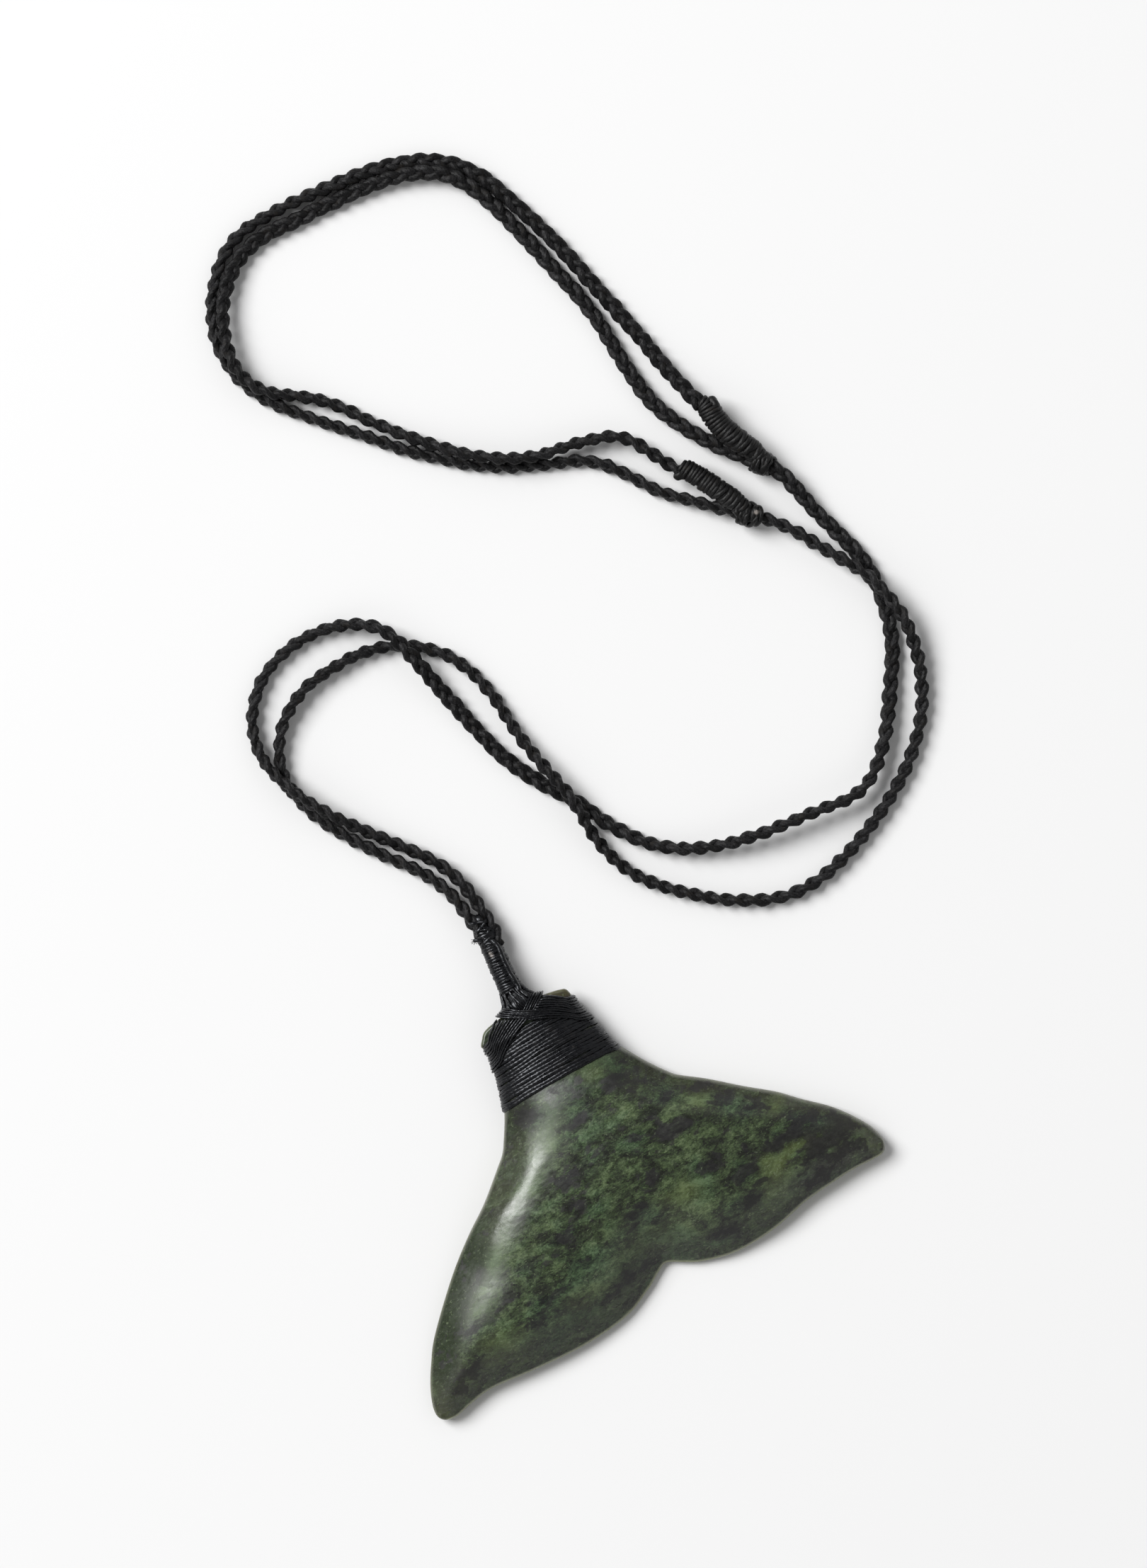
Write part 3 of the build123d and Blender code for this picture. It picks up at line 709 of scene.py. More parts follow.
def stone_heights(points, gap, crown):
    """Top and underside of the stone at points of its plan, from the crown's height there."""
    x, y = points.T
    left, right, crest = head_edges(y)
    ears = smoothstep(EAR_FOOT, EAR_FOOT + 1.0, y)
    out = (x - HEAD_MIDDLE) / (np.where(x < HEAD_MIDDLE, left, right) - HEAD_MIDDLE)
    out = np.clip(out / (1 - EAR_SPREAD * ears), 0.0, 0.998)
    dome = HEAD_RIM + (crest - HEAD_RIM) * (1 - out ** FRONT_SQUARE) ** (1 / FRONT_SQUARE)
    dome = dome * (1 - ears) - soft_min(-dome, -EAR_TOP, EAR_BLEND) * ears
    hollow = HEAD_RIM - (HEAD_RIM - HEAD_BACK) * (1 - out ** BACK_SQUARE) ** (1 / BACK_SQUARE)
    hand = sum(size * noise_at(x * fine, y * fine, seed) for fine, seed, size in HAND_WORK)
    flat = BACK_EDGE * np.clip(1 - gap / BACK_BEVEL, 0.0, 1.0) ** 1.4
    share = smoothstep(HEAD_FOOT - HEAD_BLEND, HEAD_FOOT + 0.4, y)
    top = (crown + hand) * (1 - share) + dome * share
    under = flat * (1 - share) + hollow * share
    rim = (top + under) / 2
    rounded = np.sqrt(1 - (1 - np.clip(gap / RIM_RADIUS, 0.0, 1.0)) ** 2)
    return rim + (top - rim) * rounded, np.maximum(rim + (under - rim) * rounded, 0.0)


# Patches of the stone's mottling, placed one by one: middle, half sizes, and how pale (above 0) or dark
# (below 0) each is. A few paint light and shade instead, as noted beside them.
PATCHES = [
    (-5.2, 15.4, 1.6, 1, -0.8), (-1.2, 15.9, 1.6, 0.8, -0.6), (27, -8.5, 5, 4, -0.4),
    # The wide faint dark patch at (0.5, 16.8) darkens the waist below the lashing: painted shade, over stone
    # that is darker there too.
    (-30, -11, 3.5, 2.5, -0.3), (0.5, 16.8, 9.5, 3.8, -0.12), (1.5, -9.4, 4.2, 2, 0.55),
    # The pale patches at (-20.5, 1.2) and (-18, -1) brighten the middle of the left wing's highlight: painted
    # highlight.
    (16.5, 4, 3.4, 3.4, -0.28), (-20.5, 1.2, 2, 1.2, 0.5), (28.5, -6, 3.6, 2.4, -0.3),
    (-18, -1, 2.6, 1.2, 0.35), (-6, 4.6, 2.4, 1.1, -1), (-14.3, 3.4, 1.7, 0.8, -1),
    (-23, -0.7, 1.6, 0.9, -1), (-25.2, 1.3, 1.2, 0.7, -0.8), (-6.5, 1, 1.8, 1.3, -0.7),
    (-10, -1.6, 1.4, 0.6, -0.8), (-13, -3.6, 1.2, 0.6, -0.7), (-22, -5.8, 1.6, 0.6, -0.9),
    (-29.8, -6, 1.3, 0.7, -0.8), (-33.5, -7.5, 1.1, 0.8, -0.7), (-20, -10, 2.6, 0.9, -0.8),
    (-31, -11.4, 2.2, 1, -0.8), (-15, -8, 3.2, 0.8, -0.8), (-0.3, -3.8, 1.5, 0.7, -1),
    (4, -0.8, 1.7, 1.7, -0.9), (4.6, 5.2, 1.5, 0.7, -0.9), (8.7, 4.6, 1.4, 1.6, -1),
    (11.5, 3, 2.4, 0.9, -1), (-2.8, 10.8, 1.7, 0.9, -0.9), (0.2, 11, 0.7, 0.8, -0.8),
    (-0.8, 7.2, 1.1, 0.8, -0.8), (-5.5, 13.9, 1.3, 0.6, -0.9), (6.5, 13.6, 2.6, 1, -1),
    (9.8, 11.4, 1.7, 1.2, -0.9), (3, 16, 1.2, 1.3, -0.9), (-6, 15.2, 1.5, 1.1, -0.9),
    (11, 8, 2.1, 1.2, -0.8), (16.8, 6.3, 1.2, 1, -1), (22.2, 0.2, 1.4, 1, -0.9),
    (19.2, 3, 0.8, 1.2, -0.8), (24.5, -5.4, 2.9, 0.9, -1), (12, -3.7, 2, 0.8, -0.8),
    (16, -7.1, 2, 0.9, -1), (17.3, -4.3, 0.8, 0.8, -0.8), (4.3, -5.2, 1.3, 0.7, -0.8),
    (14.5, -10.8, 2.3, 0.9, -1), (17.6, -9.6, 1.6, 0.4, -0.8), (9, -12.5, 1.6, 1, -0.7),
    (26.5, -9.4, 2.8, 1.3, -1), (31, -8.6, 1.7, 1.5, -1), (10.8, -14, 1.7, 1.2, -0.7),
    (25, -12.9, 3.2, 1.2, -0.8), (30, -11.9, 2, 0.8, -0.8), (-6, -11.8, 3.6, 0.9, -0.6),
    (2, -7, 2.2, 1, -0.6), (21, -6.3, 1.3, 0.8, -0.8), (-34, -13, 2, 0.9, -0.5),
    (-17.5, 6.2, 2.4, 0.7, -0.5), (-26.5, -9.5, 3.4, 1.6, 0.7), (-24.8, -12, 1.6, 1, 0.6),
    (-17.5, -1, 2.2, 1, 0.6), (-11, 2.8, 1.7, 0.8, 0.6), (-3.5, 1.2, 1.6, 0.7, 0.8),
    (-6, -5, 2.6, 0.8, 0.5), (-13, -6, 3, 0.6, 0.4), (6.6, -4.7, 2.4, 1.5, 1), (5.6, 8.4, 1.3, 1.9, 0.9),
    (15.2, 4.9, 1.6, 1.2, 0.9), (10.5, -1.2, 1.3, 1, 0.8), (16, -3.5, 1, 1.3, 0.8),
    (19.8, -8.8, 1.6, 1.5, 1.2), (24, -8.1, 2.2, 0.7, 0.8), (18.6, -12.2, 2.7, 1.2, 0.9),
    (14, -14.3, 1.8, 0.9, 0.6), (7, -8.6, 2.7, 1.1, 0.8), (-3.5, 16.4, 1.9, 1.2, 1),
    (4.8, 16, 1.7, 1.6, 1), (1, 8.6, 2.6, 0.9, 0.6), (-8.5, -8.6, 3.4, 1, 0.5),
    (4.8, -13.4, 2.2, 0.8, 0.4), (-6, 11, 2.2, 2, 0.7), (12.6, 5.6, 1.3, 1, 0.6), (2, 3, 2.2, 0.8, 0.4),
    (-1, -7.8, 2.4, 0.8, 0.4), (-28.6, -3.2, 1.6, 1, 0.4), (-12.5, 9.6, 1.4, 0.7, 0.3),
]
# Yellow-green tints: middle, half sizes, strength. Those at the two tips, (-38, -14.6) and (33.6, -13.4), are
# partly the stone's yellow-green and partly painted glow of light through the thin tips.
TINTS = [
    (20, -9, 2.2, 1.8, 1), (4.8, 16.2, 1.9, 1.4, 0.8), (15.3, 5, 1.8, 1.4, 0.5), (7, -5.2, 2.8, 1.4, 0.6),
    (-26, -10.6, 3.4, 2.2, 0.6), (25.3, -1, 1.6, 1.2, 0.8), (33.6, -13.4, 1.3, 1.8, 1),
    (-38, -14.6, 1.5, 1.4, 1), (24, -8, 2.6, 0.9, 0.8), (18, -12.4, 2.4, 1.3, 0.5),
    (-13, -11, 3, 1.2, 0.3), (32.6, -9.5, 1, 1.6, 0.5), (1.5, -9.2, 4, 2, 0.25),
    (-34.5, -12, 3, 2.6, 0.45), (29, -11, 4.5, 3, 0.18), (9.5, 13.5, 1.6, 2.4, 0.3),
]


def broken_patches(points, rows):
    """Sum of soft patches at points of the stone, their edges broken up by noise."""
    x, y = points.T
    moved_x = x + 1.5 * noise_at(x * 0.55, y * 0.55, 1.3)
    moved_y = y + 1.1 * noise_at(x * 0.55, y * 0.55, 8.4)
    return patch_sum(moved_x, moved_y, rows, 0.9)


def stone_values(points, gap, left_gap, right_gap, trail_gap):
    """Amounts for the stone's material at points of its plan, by name."""
    across, up = points.T
    band_gap = distance_to(points, np.array(BAND))
    haze = smoothstep(-18.0, -21.5, across) + 0.9 * smoothstep(-24.0, -27.5, across)
    haze = np.maximum(haze, 1.9 * smoothstep(-9.0, -4.0, across))
    left_wing = smoothstep(-17.0, -23.0, across) * smoothstep(-38.0, -34.0, across)
    return {
        "tone": broken_patches(points, PATCHES),
        "tint": broken_patches(points, TINTS),
        # lead: darker olive on the leading bevels, partly the stone's olive-brown and partly painted shade;
        # it also lowers their roughness.
        "lead": smoothstep(5.2, 2.5, np.minimum(left_gap, right_gap * 2.2)),
        # pale: painted highlight along the band.
        "pale": np.exp(-(band_gap / 1.65) ** 2),
        "hazy": np.exp(-(band_gap / 3.2) ** 2) * haze,
        # glow and edge mask the rim for a painted glow of light through the thin stone.
        "glow": smoothstep(0.45, 0.05, trail_gap),
        # waist: painted shade just below the lashing, over stone that is darker there too.
        "waist": smoothstep(11.0, 15.0, up),
        "shaded": smoothstep(4.8, 2.8, left_gap) * left_wing,
        # trail: mask of the trailing bevels, for their grey tone and painted shade.
        "trail": smoothstep(6.5, 2.0, trail_gap),
        # edge: rim mask for the painted glow.
        "edge": smoothstep(0.4, 0.0, gap),
        "rind": 0.75 * smoothstep(25.2, 26.6, up) * smoothstep(2.0, 4.0, across),
    }


def inset_rings(outline):
    """Rings of points from the outline inward, for the round rim."""
    heading = ring_tangents(outline)
    for _ in range(2):
        heading = unit(np.roll(heading, -1, axis=0) + heading + np.roll(heading, 1, axis=0))
    inward = np.column_stack([-heading[:, 1], heading[:, 0]])
    reach = np.where(outline[:, 1] > EAR_FOOT, 0.5, 1.0)[:, None]
    return [outline + inward * inset * reach for inset in INSETS]


def filled_plan(inner):
    """Points and faces of an even fill inside a ring, whose own points come first.

    Points of the grid outside the ring get no faces, and are taken out with the loose ones.
    """
    columns = np.arange(*GRID_ACROSS, GRID_STEP)
    rows = []
    for row, y in enumerate(np.arange(*GRID_UP, GRID_STEP * 0.866)):
        rows.append(np.column_stack([columns + row % 2 * GRID_STEP / 2, np.full(len(columns), y)]))
    grid = np.vstack(rows)
    grid = grid[distance_to_ring(grid, inner) > GRID_STEP * 0.5]
    points = [Vector(point) for point in np.vstack([inner, grid]).tolist()]
    edges = [(i, (i + 1) % len(inner)) for i in range(len(inner))]
    points, _, faces, *_ = delaunay_2d_cdt(points, edges, [], 1, 1e-6)
    return np.array([tuple(point) for point in points]), faces


def clean(mesh):
    """Takes out the points that no face uses, and turns every face outward."""
    work = bmesh.new()
    work.from_mesh(mesh)
    for vertex in [vertex for vertex in work.verts if not vertex.link_faces]:
        work.verts.remove(vertex)
    bmesh.ops.recalc_face_normals(work, faces=work.faces)
    work.to_mesh(mesh)
    work.free()


def carved_stone():
    """The whale tail: rounded rim strips round the outline, and a filled plan inside them."""
    wings = OUTLINE_LEFT + OUTLINE_LEFT_TIP + OUTLINE_TRAILING + OUTLINE_RIGHT_TIP + OUTLINE_RIGHT
    outline = curve_through(wings + OUTLINE_HEAD, 0.3, closed=True)[:-1]
    left_line = curve_through(OUTLINE_HEAD[-3:] + OUTLINE_LEFT + OUTLINE_LEFT_TIP[:1], 0.2)
    right_line = curve_through(OUTLINE_RIGHT_TIP[-1:] + OUTLINE_RIGHT + OUTLINE_HEAD[:3], 0.4)
    trail_line = curve_through(OUTLINE_LEFT_TIP[2:] + OUTLINE_TRAILING + OUTLINE_RIGHT_TIP[:1], 0.4)
    count = len(outline)
    rings = inset_rings(outline)
    plan_points, plan_faces = filled_plan(rings[-1])
    points = np.vstack([*rings[:-1], plan_points])
    gap = distance_to_ring(points, outline)
    gap[:count] = 0.0
    edges = (left_line, right_line, trail_line)
    left_gap, right_gap, trail_gap = (distance_to(points, line) for line in edges)
    top, under = stone_heights(points, gap, crown_height(points, left_line, right_gap, trail_gap))
    first_inner = count * (len(rings) - 1)
    faces = [
        (ring + i, ring + (i + 1) % count, ring + count + (i + 1) % count, ring + count + i)
        for ring in range(0, first_inner, count) for i in range(count)
    ]
    faces += [[first_inner + i for i in face] for face in plan_faces]
    # The underside repeats the top's faces, and shares the points of the outline.
    faces += [[i if i < count else i + len(points) for i in reversed(face)] for face in faces]
    verts = np.vstack([np.column_stack([points, top]), np.column_stack([points, under])])
    mesh = bpy.data.meshes.new("carved_tail")
    mesh.from_pydata((verts * MM).tolist(), [], faces)
    for name, values in stone_values(points, gap, left_gap, right_gap, trail_gap).items():
        point_values(mesh, name, np.tile(values, 2))
    mesh.validate()
    clean(mesh)
    put_in("carved_tail", mesh, greenstone(), "whale_tail")


def greenstone():
    """Mottled green stone: clouded greens, crisp purple-black blotches, pale flecks and streaks."""
    made = new_material("greenstone")
    plain = made.millimetres((0.78, 1.2, 1.0))
    place = made.warped(made.warped(plain, 0.45, 1.6), 1.9, 0.5)
    mottle = made.texture(place, 1.35, 7.0, 0.64)
    streaks = made.texture(made.warped(made.millimetres((1.1, 3.4, 1.0)), 0.7, 1.4), 1.1, 6.0, 0.68)
    patch = made.attribute("tone")
    tone = made.weighted(
        (made.texture(place, 0.42, 6.0, 0.58), 1.08), (mottle, 0.60), (streaks, 0.46),
        (made.texture(plain, 4.2, 3.0, 0.7), 0.60), (patch, 0.145),
    )
    colour = made.ramp(made.combine("SUBTRACT", tone, 0.880), [
        (0.27, (0.011, 0.012, 0.009)),
        (0.39, (0.018, 0.023, 0.013)),
        (0.50, (0.033, 0.049, 0.021)),
        (0.61, (0.059, 0.086, 0.037)),
        (0.76, (0.113, 0.153, 0.071)),
    ])
    blue = made.span(made.texture(plain, 0.22, 3.0, 0.5), 0.46, 0.64, 0.0, 0.7)
    colour = made.mix(blue, colour, (0.80, 0.98, 1.12), "MULTIPLY")
    for name, weight, tint in (
        # pale paints the highlight along the band in a paler green.
        ("tint", 0.50, (0.110, 0.138, 0.040)), ("pale", 0.60, (0.092, 0.135, 0.062)),
        # lead darkens the leading bevels: partly the stone's olive-brown, partly painted shade.
        ("lead", 0.58, (0.032, 0.034, 0.018)), ("shaded", 0.85, (0.011, 0.020, 0.005)),
    ):
        colour = made.mix(made.attribute(name, weight), colour, tint)
    # Greys the trailing bevels: partly the stone's grey tone, partly painted shade on bevels that face away
    # from the lamp.
    trail_grey_and_shade = made.combine("MULTIPLY", made.attribute("trail"), made.span(streaks, 0.35, 0.60, 0.05, 0.75))
    grey_and_shade_tones = made.ramp(made.texture(place, 2.9, 5.0, 0.7), [
        (0.36, (0.020, 0.020, 0.018)), (0.50, (0.036, 0.037, 0.032)), (0.66, (0.075, 0.078, 0.066)),
    ])
    colour = made.mix(trail_grey_and_shade, colour, grey_and_shade_tones)
    colour = made.mix(made.attribute("rind"), colour, (0.105, 0.080, 0.042))
    # Darker just below the lashing: painted shade, over stone that is darker there too.
    colour = made.mix(made.attribute("waist"), colour, (0.58, 0.64, 0.56), "MULTIPLY")
    blot = made.weighted((made.texture(place, 0.62, 8.0, 0.64), 1), (patch, -0.24))
    # Fewer dark blotches under the painted highlight.
    painted_highlight_clearing = made.span(made.attribute("pale"), 0.0, 1.0, 1.0, 0.35)
    blotted = made.combine("MULTIPLY", made.span(blot, 0.585, 0.640, 0.0, 1.0), painted_highlight_clearing)
    colour = made.mix(blotted, colour, (0.33, 0.28, 0.345), "MULTIPLY")
    fleck = made.weighted((made.texture(place, 2.3, 6.0, 0.66), 1), (patch, 0.07))
    colour = made.mix(made.span(fleck, 0.580, 0.68, 0.0, 0.62), colour, (0.150, 0.190, 0.105))
    # Lighter yellow-green round the rim, most along the trailing edge: painted glow of light through the thin
    # stone.
    colour = made.mix(made.attribute("edge", 0.28), colour, (0.17, 0.17, 0.07))
    colour = made.mix(made.attribute("glow", 0.50), colour, (0.29, 0.32, 0.14))
    worn = made.weighted((made.texture(plain, 0.9, 1.5, 0.5), 1), (made.texture(plain, 2.6, 2.0, 0.6), 0.28))
    made.bump(worn, 0.45, 0.00007)
    polish = made.weighted(
        (made.span(mottle, 0.35, 0.65, 0.24, 0.38), 1), (blotted, 0.14), (made.attribute("hazy"), 0.13),
        (made.attribute("lead"), -0.06),
    )
    return made.finish(
        Base_Color=colour, Roughness=polish, IOR=1.61, Subsurface_Weight=0.08, Subsurface_Scale=1.0,
        Subsurface_Radius=(0.0006, 0.0010, 0.0005),
    )


carved_stone()


# Lashing, root knot, stem and slide knots, all of waxed thread

THREAD, THREAD_FLAT = 0.29, 0.17
LOOPS, LOOP_PITCH, LOOP_START = 18, 0.495, 17.75
# The two fans of the lashing: side, foot of the first turn and rise to the last one's, and where
# the first turn ends on the front, with the step to the last one's end.
FANS = [(-1, 22.95, 3.6, (1.1, 27.3), (-4.0, 1.9)), (1, 22.35, 3.9, (0.7, 27.0), (3.3, 1.75))]
FAN_TURNS = 10
# How a fan's turns rise round the back: angle before the side's edge, and height above the foot.
FAN_BEHIND = [(-78, 2.6), (-55, 1.7), (-30, 0.75), (-8, 0.15)]
# The two bands that cross over the head: the first strand's path, and beside each of its points
# how far off the last strand lies.
LEFT_BAND = [
    (-1.6, 28.3, 0.75, 1.2, 0), (-2.5, 29.25, 1.4, 1.2, 0.25), (-2.75, 29.5, 3.2, 1.4, 0.4),
    (-2.5, 29.35, 4.8, 1.4, 0.4), (-1.8, 28.85, 5.45, 1.4, 0.35), (-0.7, 28.15, 5.8, 1.4, 0.3),
    (0.7, 27.35, 6.05, 1.35, 0.3), (2.2, 26.5, 6.0, 1.3, 0.35), (3.4, 25.85, 5.7, 1.2, 0.4),
    (4.2, 25.4, 5.3, 1.1, 0.4),
]
RIGHT_BAND = [
    (3.2, 28.3, 0.75, -1.2, 0), (4.2, 29.0, 1.4, -1.3, 0.3), (4.45, 29.15, 3.2, -1.35, 0.55),
    (4.15, 28.95, 4.7, -1.4, 0.6), (3.3, 28.45, 5.4, -1.4, 0.5), (2.3, 27.85, 5.65, -1.4, 0.4),
    (1.0, 27.25, 5.75, -1.4, 0.25), (-0.4, 26.75, 5.7, -1.3, 0.2), (-1.6, 26.3, 5.5, -1.2, 0.1),
    (-2.5, 25.9, 5.1, -1.1, 0.1),
]
BAND_STRANDS = 5
# Rings of the foot of the stem: height, half width, half depth and level of the middle.
FOOT_RINGS = [
    (28.5, 2.75, 2.3, 3.1), (29.6, 2.62, 2.3, 3.2), (30.3, 2.15, 1.95, 3.15), (31.0, 1.9, 1.65, 3.1),
    (31.9, 1.6, 1.45, 3.0),
]
FOOT_STRANDS = 30
# Half widths and depths of the stem, by share of its length.
STEM_WIDTHS = [
    (0, 2.0), (0.1, 1.78), (0.3, 1.68), (0.5, 1.66), (0.68, 1.6), (0.85, 1.62), (0.95, 1.5), (1, 1.1),
]
STEM_DEPTHS = [(0, 1.6), (0.15, 1.48), (0.65, 1.44), (0.85, 1.25), (1, 0.9)]
# Thick turns at the stem's top, which slant to the left and to the right by turns: places across
# and levels, at heights round the middle of the turn.
SLANTS = [
    ((3.0, 2.55, 1.7, 0.9, 0.55), (2.2, 3.05, 3.25, 2.95, 2.2)),
    ((0.6, 1.05, 1.9, 2.7, 3.05), (2.2, 3.1, 3.3, 2.95, 2.2)),
]
SLANT_HEIGHTS = np.array([-0.5, -0.2, 0.15, 0.5, 0.8])
EYE_TURNS = 10


def on_head(angle, up, out):
    """Points round the head: angle in degrees from its right edge over the front, out from the stone."""
    left, right, crest = head_edges(up)
    turn = np.radians(angle)
    across, rise = np.cos(turn), np.sin(turn)
    power = np.where(rise >= 0, 2 / FRONT_SQUARE, 2 / BACK_SQUARE)
    half = np.where(across >= 0, right - HEAD_MIDDLE, HEAD_MIDDLE - left) + out
    lift = np.where(rise >= 0, crest - HEAD_RIM, HEAD_RIM - HEAD_BACK) + out
    x = HEAD_MIDDLE + half * np.sign(across) * np.abs(across) ** power
    z = HEAD_RIM + lift * np.sign(rise) * np.abs(rise) ** power
    return np.column_stack([x, up, z])


def front_angle(x, up, out):
    """The angle at which on_head reaches a place across the front."""
    left, right, _ = head_edges(up)
    half = np.where(x >= HEAD_MIDDLE, right - HEAD_MIDDLE, HEAD_MIDDLE - left) + out
    share = np.clip((x - HEAD_MIDDLE) / half, -1.0, 1.0)
    return np.degrees(np.arccos(np.sign(share) * np.abs(share) ** (FRONT_SQUARE / 2)))


def head_turns(shape):
    """Turns of thread round the head, bowed over the front and leaning less as they rise."""
    around = np.arange(0.0, 360.0, 4.0)
    circle = np.radians(around)
    for turn in range(LOOPS):
        up = LOOP_START + turn * LOOP_PITCH
        seed = 31.0 + turn * 1.7
        share = turn / (LOOPS - 1)
        x = on_head(around, np.full(len(around), up), THREAD)[:, 0]
        swell = ring_noise(circle, seed + 50, 2.6)
        fall = (0.0045 + 0.008 * share ** 2) * x ** 2 + 0.026 * (1 - share) ** 2 * x
        height = up - fall + 0.22 * ring_noise(circle, seed, 1.9)
        out = THREAD_FLAT * 0.95 + 0.07 * swell + rng.uniform(-0.03, 0.05)
        line = on_head(around, np.maximum(height, 17.3), out)
        line[:, 1] = height
        ahead = ring_tangents(line)
        upward = unit(np.cross(ahead, (0.0, 1.0, 0.0)))
        shape.tube(
            line, THREAD * (1.0 + rng.uniform(-0.14, 0.16) + 0.14 * swell), THREAD_FLAT, 9,
            frames=(np.cross(ahead, upward), upward), closed=True, shade=rng.random(), uneven=0.10, grain=2.2,
        )


def head_fan(shape, way, foot_start, foot_rise, end_start, end_step):
    """Turns that come round one side of the head and cross up over the front to the knot."""
    for index in range(FAN_TURNS):
        share = index / (FAN_TURNS - 1)
        foot = foot_start + foot_rise * share
        end_x, end_y = np.array(end_start) + np.array(end_step) * share
        edge_x = on_head(90.0 - way * 90.0, foot, 0.0)[0, 0]
        jitter = rng.uniform(-0.05, 0.05)
        points = [(turn if way > 0 else 180 - turn, foot + rise + jitter) for turn, rise in FAN_BEHIND]
        for step in (0.10, 0.28, 0.48, 0.68, 0.86, 1.0):
            x = edge_x + (end_x - edge_x) * step
            bulge = 0.55 * math.sin(math.pi * step) * (1 - 0.6 * share)
            y = foot + (end_y - foot) * step + bulge + jitter * (1 - step)
            points.append((float(front_angle(x, y, 0.5)), y))
        # The path is smoothed with its angles in about the same measure as its heights.
        angle, height = (curve_through(np.array(points) * (0.06, 1), 0.16) / (0.06, 1)).T
        out = THREAD_FLAT + 0.03 * (index % 2) + wander(len(angle), 0.05, 12.0, 60.0 + index * way)
        out += 0.30 * smoothstep(26.9, 25.4, height) + 0.4 * smoothstep(25.2, 26.4, height)
        line = at_equal_steps(on_head(angle, height, out), 0.3)
        shape.tube(line, THREAD * 1.04, THREAD_FLAT, 8, taper=0.3, shade=rng.random(), uneven=0.10, grain=2.2)


def lashing():
    """Turns of thread round the head, then a fan of turns on each side that crosses up to the knot."""
    shape = Shape()
    head_turns(shape)
    for fan in FANS:
        head_fan(shape, *fan)
    shape.make("head_lashing", thread_black, "tab_lashing")


def crossing_strand(shape, band, share, sway, lift):
    """One strand of a band over the head, at its share of the way to the band's last strand."""
    rows = np.array(band)
    line = rows[:, :3].copy()
    line[:, :2] += rows[:, 3:] * share
    line[[3, 5], 1] += sway
    line[[4, 5], 2] += lift
    shape.tube(curve_through(line, 0.3), THREAD, THREAD_FLAT, 8, taper=0.3, shade=rng.random())


def root_knot():
    """Two bands of thread over the top of the head that cross in front, and the foot of the stem."""
    shape = Shape()
    core = curve_through([(0.75, 28.2, 3.2), (0.85, 29.3, 3.25), (0.9, 30.2, 3.15), (0.85, 31.3, 3.1)], 0.3)
    marks, wide, deep = zip((0, 2.9, 2.1), (0.35, 2.7, 2.3), (0.65, 2.1, 1.9), (1, 1.6, 1.4))
    share = np.linspace(0.0, 1.0, len(core))
    wide, deep = np.interp(share, marks, wide), np.interp(share, marks, deep)
    shape.tube(core, wide, deep, 20, frames=level_frames(core))
    for index in range(BAND_STRANDS):
        share = index / (BAND_STRANDS - 1)
        lift = 0.12 * math.sin(index * 2.1)
        sway = rng.uniform(-0.08, 0.08)
        crossing_strand(shape, LEFT_BAND, share, sway, lift)
        crossing_strand(shape, RIGHT_BAND, share, -sway, -lift)
    for index in range(FOOT_STRANDS):
        turn = TURN * (index + rng.uniform(-0.3, 0.3)) / FOOT_STRANDS
        twist = rng.uniform(-0.1, 0.7)
        up, half, deep, level = np.array(FOOT_RINGS).T
        swing = turn + twist * (up - 28.7) / 3.1
        line = np.column_stack([0.85 + half * np.cos(swing), up, level + deep * np.sin(swing)])
        thick = rng.uniform(0.24, 0.34)
        shape.tube(curve_through(line, 0.25), thick, 0.2, 7, taper=0.25, shade=rng.random(), uneven=0.10)
    shape.make("crossed_knot", thread_black, "root_knot")


def wound(shape, axis, half_width, half_depth, pitch, thread, seed, lean, rough_by, start=0.0, end=1.0):
    """Fine turns of thread round an axis, over a plain core."""
    axis = at_equal_steps(axis, 0.2)
    side, upward = level_frames(axis)
    along = lengths_along(axis)
    share = along / along[-1]
    half_width = np.interp(share, *zip(*half_width))
    half_depth = np.interp(share, *zip(*half_depth))
    shape.tube(axis, half_width - thread * 1.3, half_depth - thread * 1.3, 16, frames=(side, upward))
    turns = (end - start) * along[-1] / pitch
    steps = int(turns * 16)
    turn = np.linspace(0.0, turns * TURN, steps)
    rough = noise_at(turn * 0.31, seed, 2.2) * rough_by
    slip = noise_at(turn * 0.12, seed, 7.9)
    shift = lean * np.sin(turn + 2.0 * slip) + slip * 0.55 * pitch
    place = np.clip(np.linspace(start, end, steps) + shift / along[-1], 0.0, 1.0)
    wide = np.interp(place, share, half_width) - thread + rough
    deep = np.interp(place, share, half_depth) - thread + rough
    middle, side, upward = (sampled(place, share, values) for values in (axis, side, upward))
    cosine, sine = np.cos(turn), np.sin(turn)
    line = beside(middle, side, wide * cosine, upward, deep * sine)
    outward = unit(beside(0, side, deep * cosine, upward, wide * sine))
    flat = unit(np.cross(outward, tangents(line)))
    width = thread * 1.15 * (1.0 + 0.25 * slip)
    shape.tube(line, width, thread * 0.85, 7, frames=(flat, outward), taper=0.2, uneven=0.10, grain=1.8)


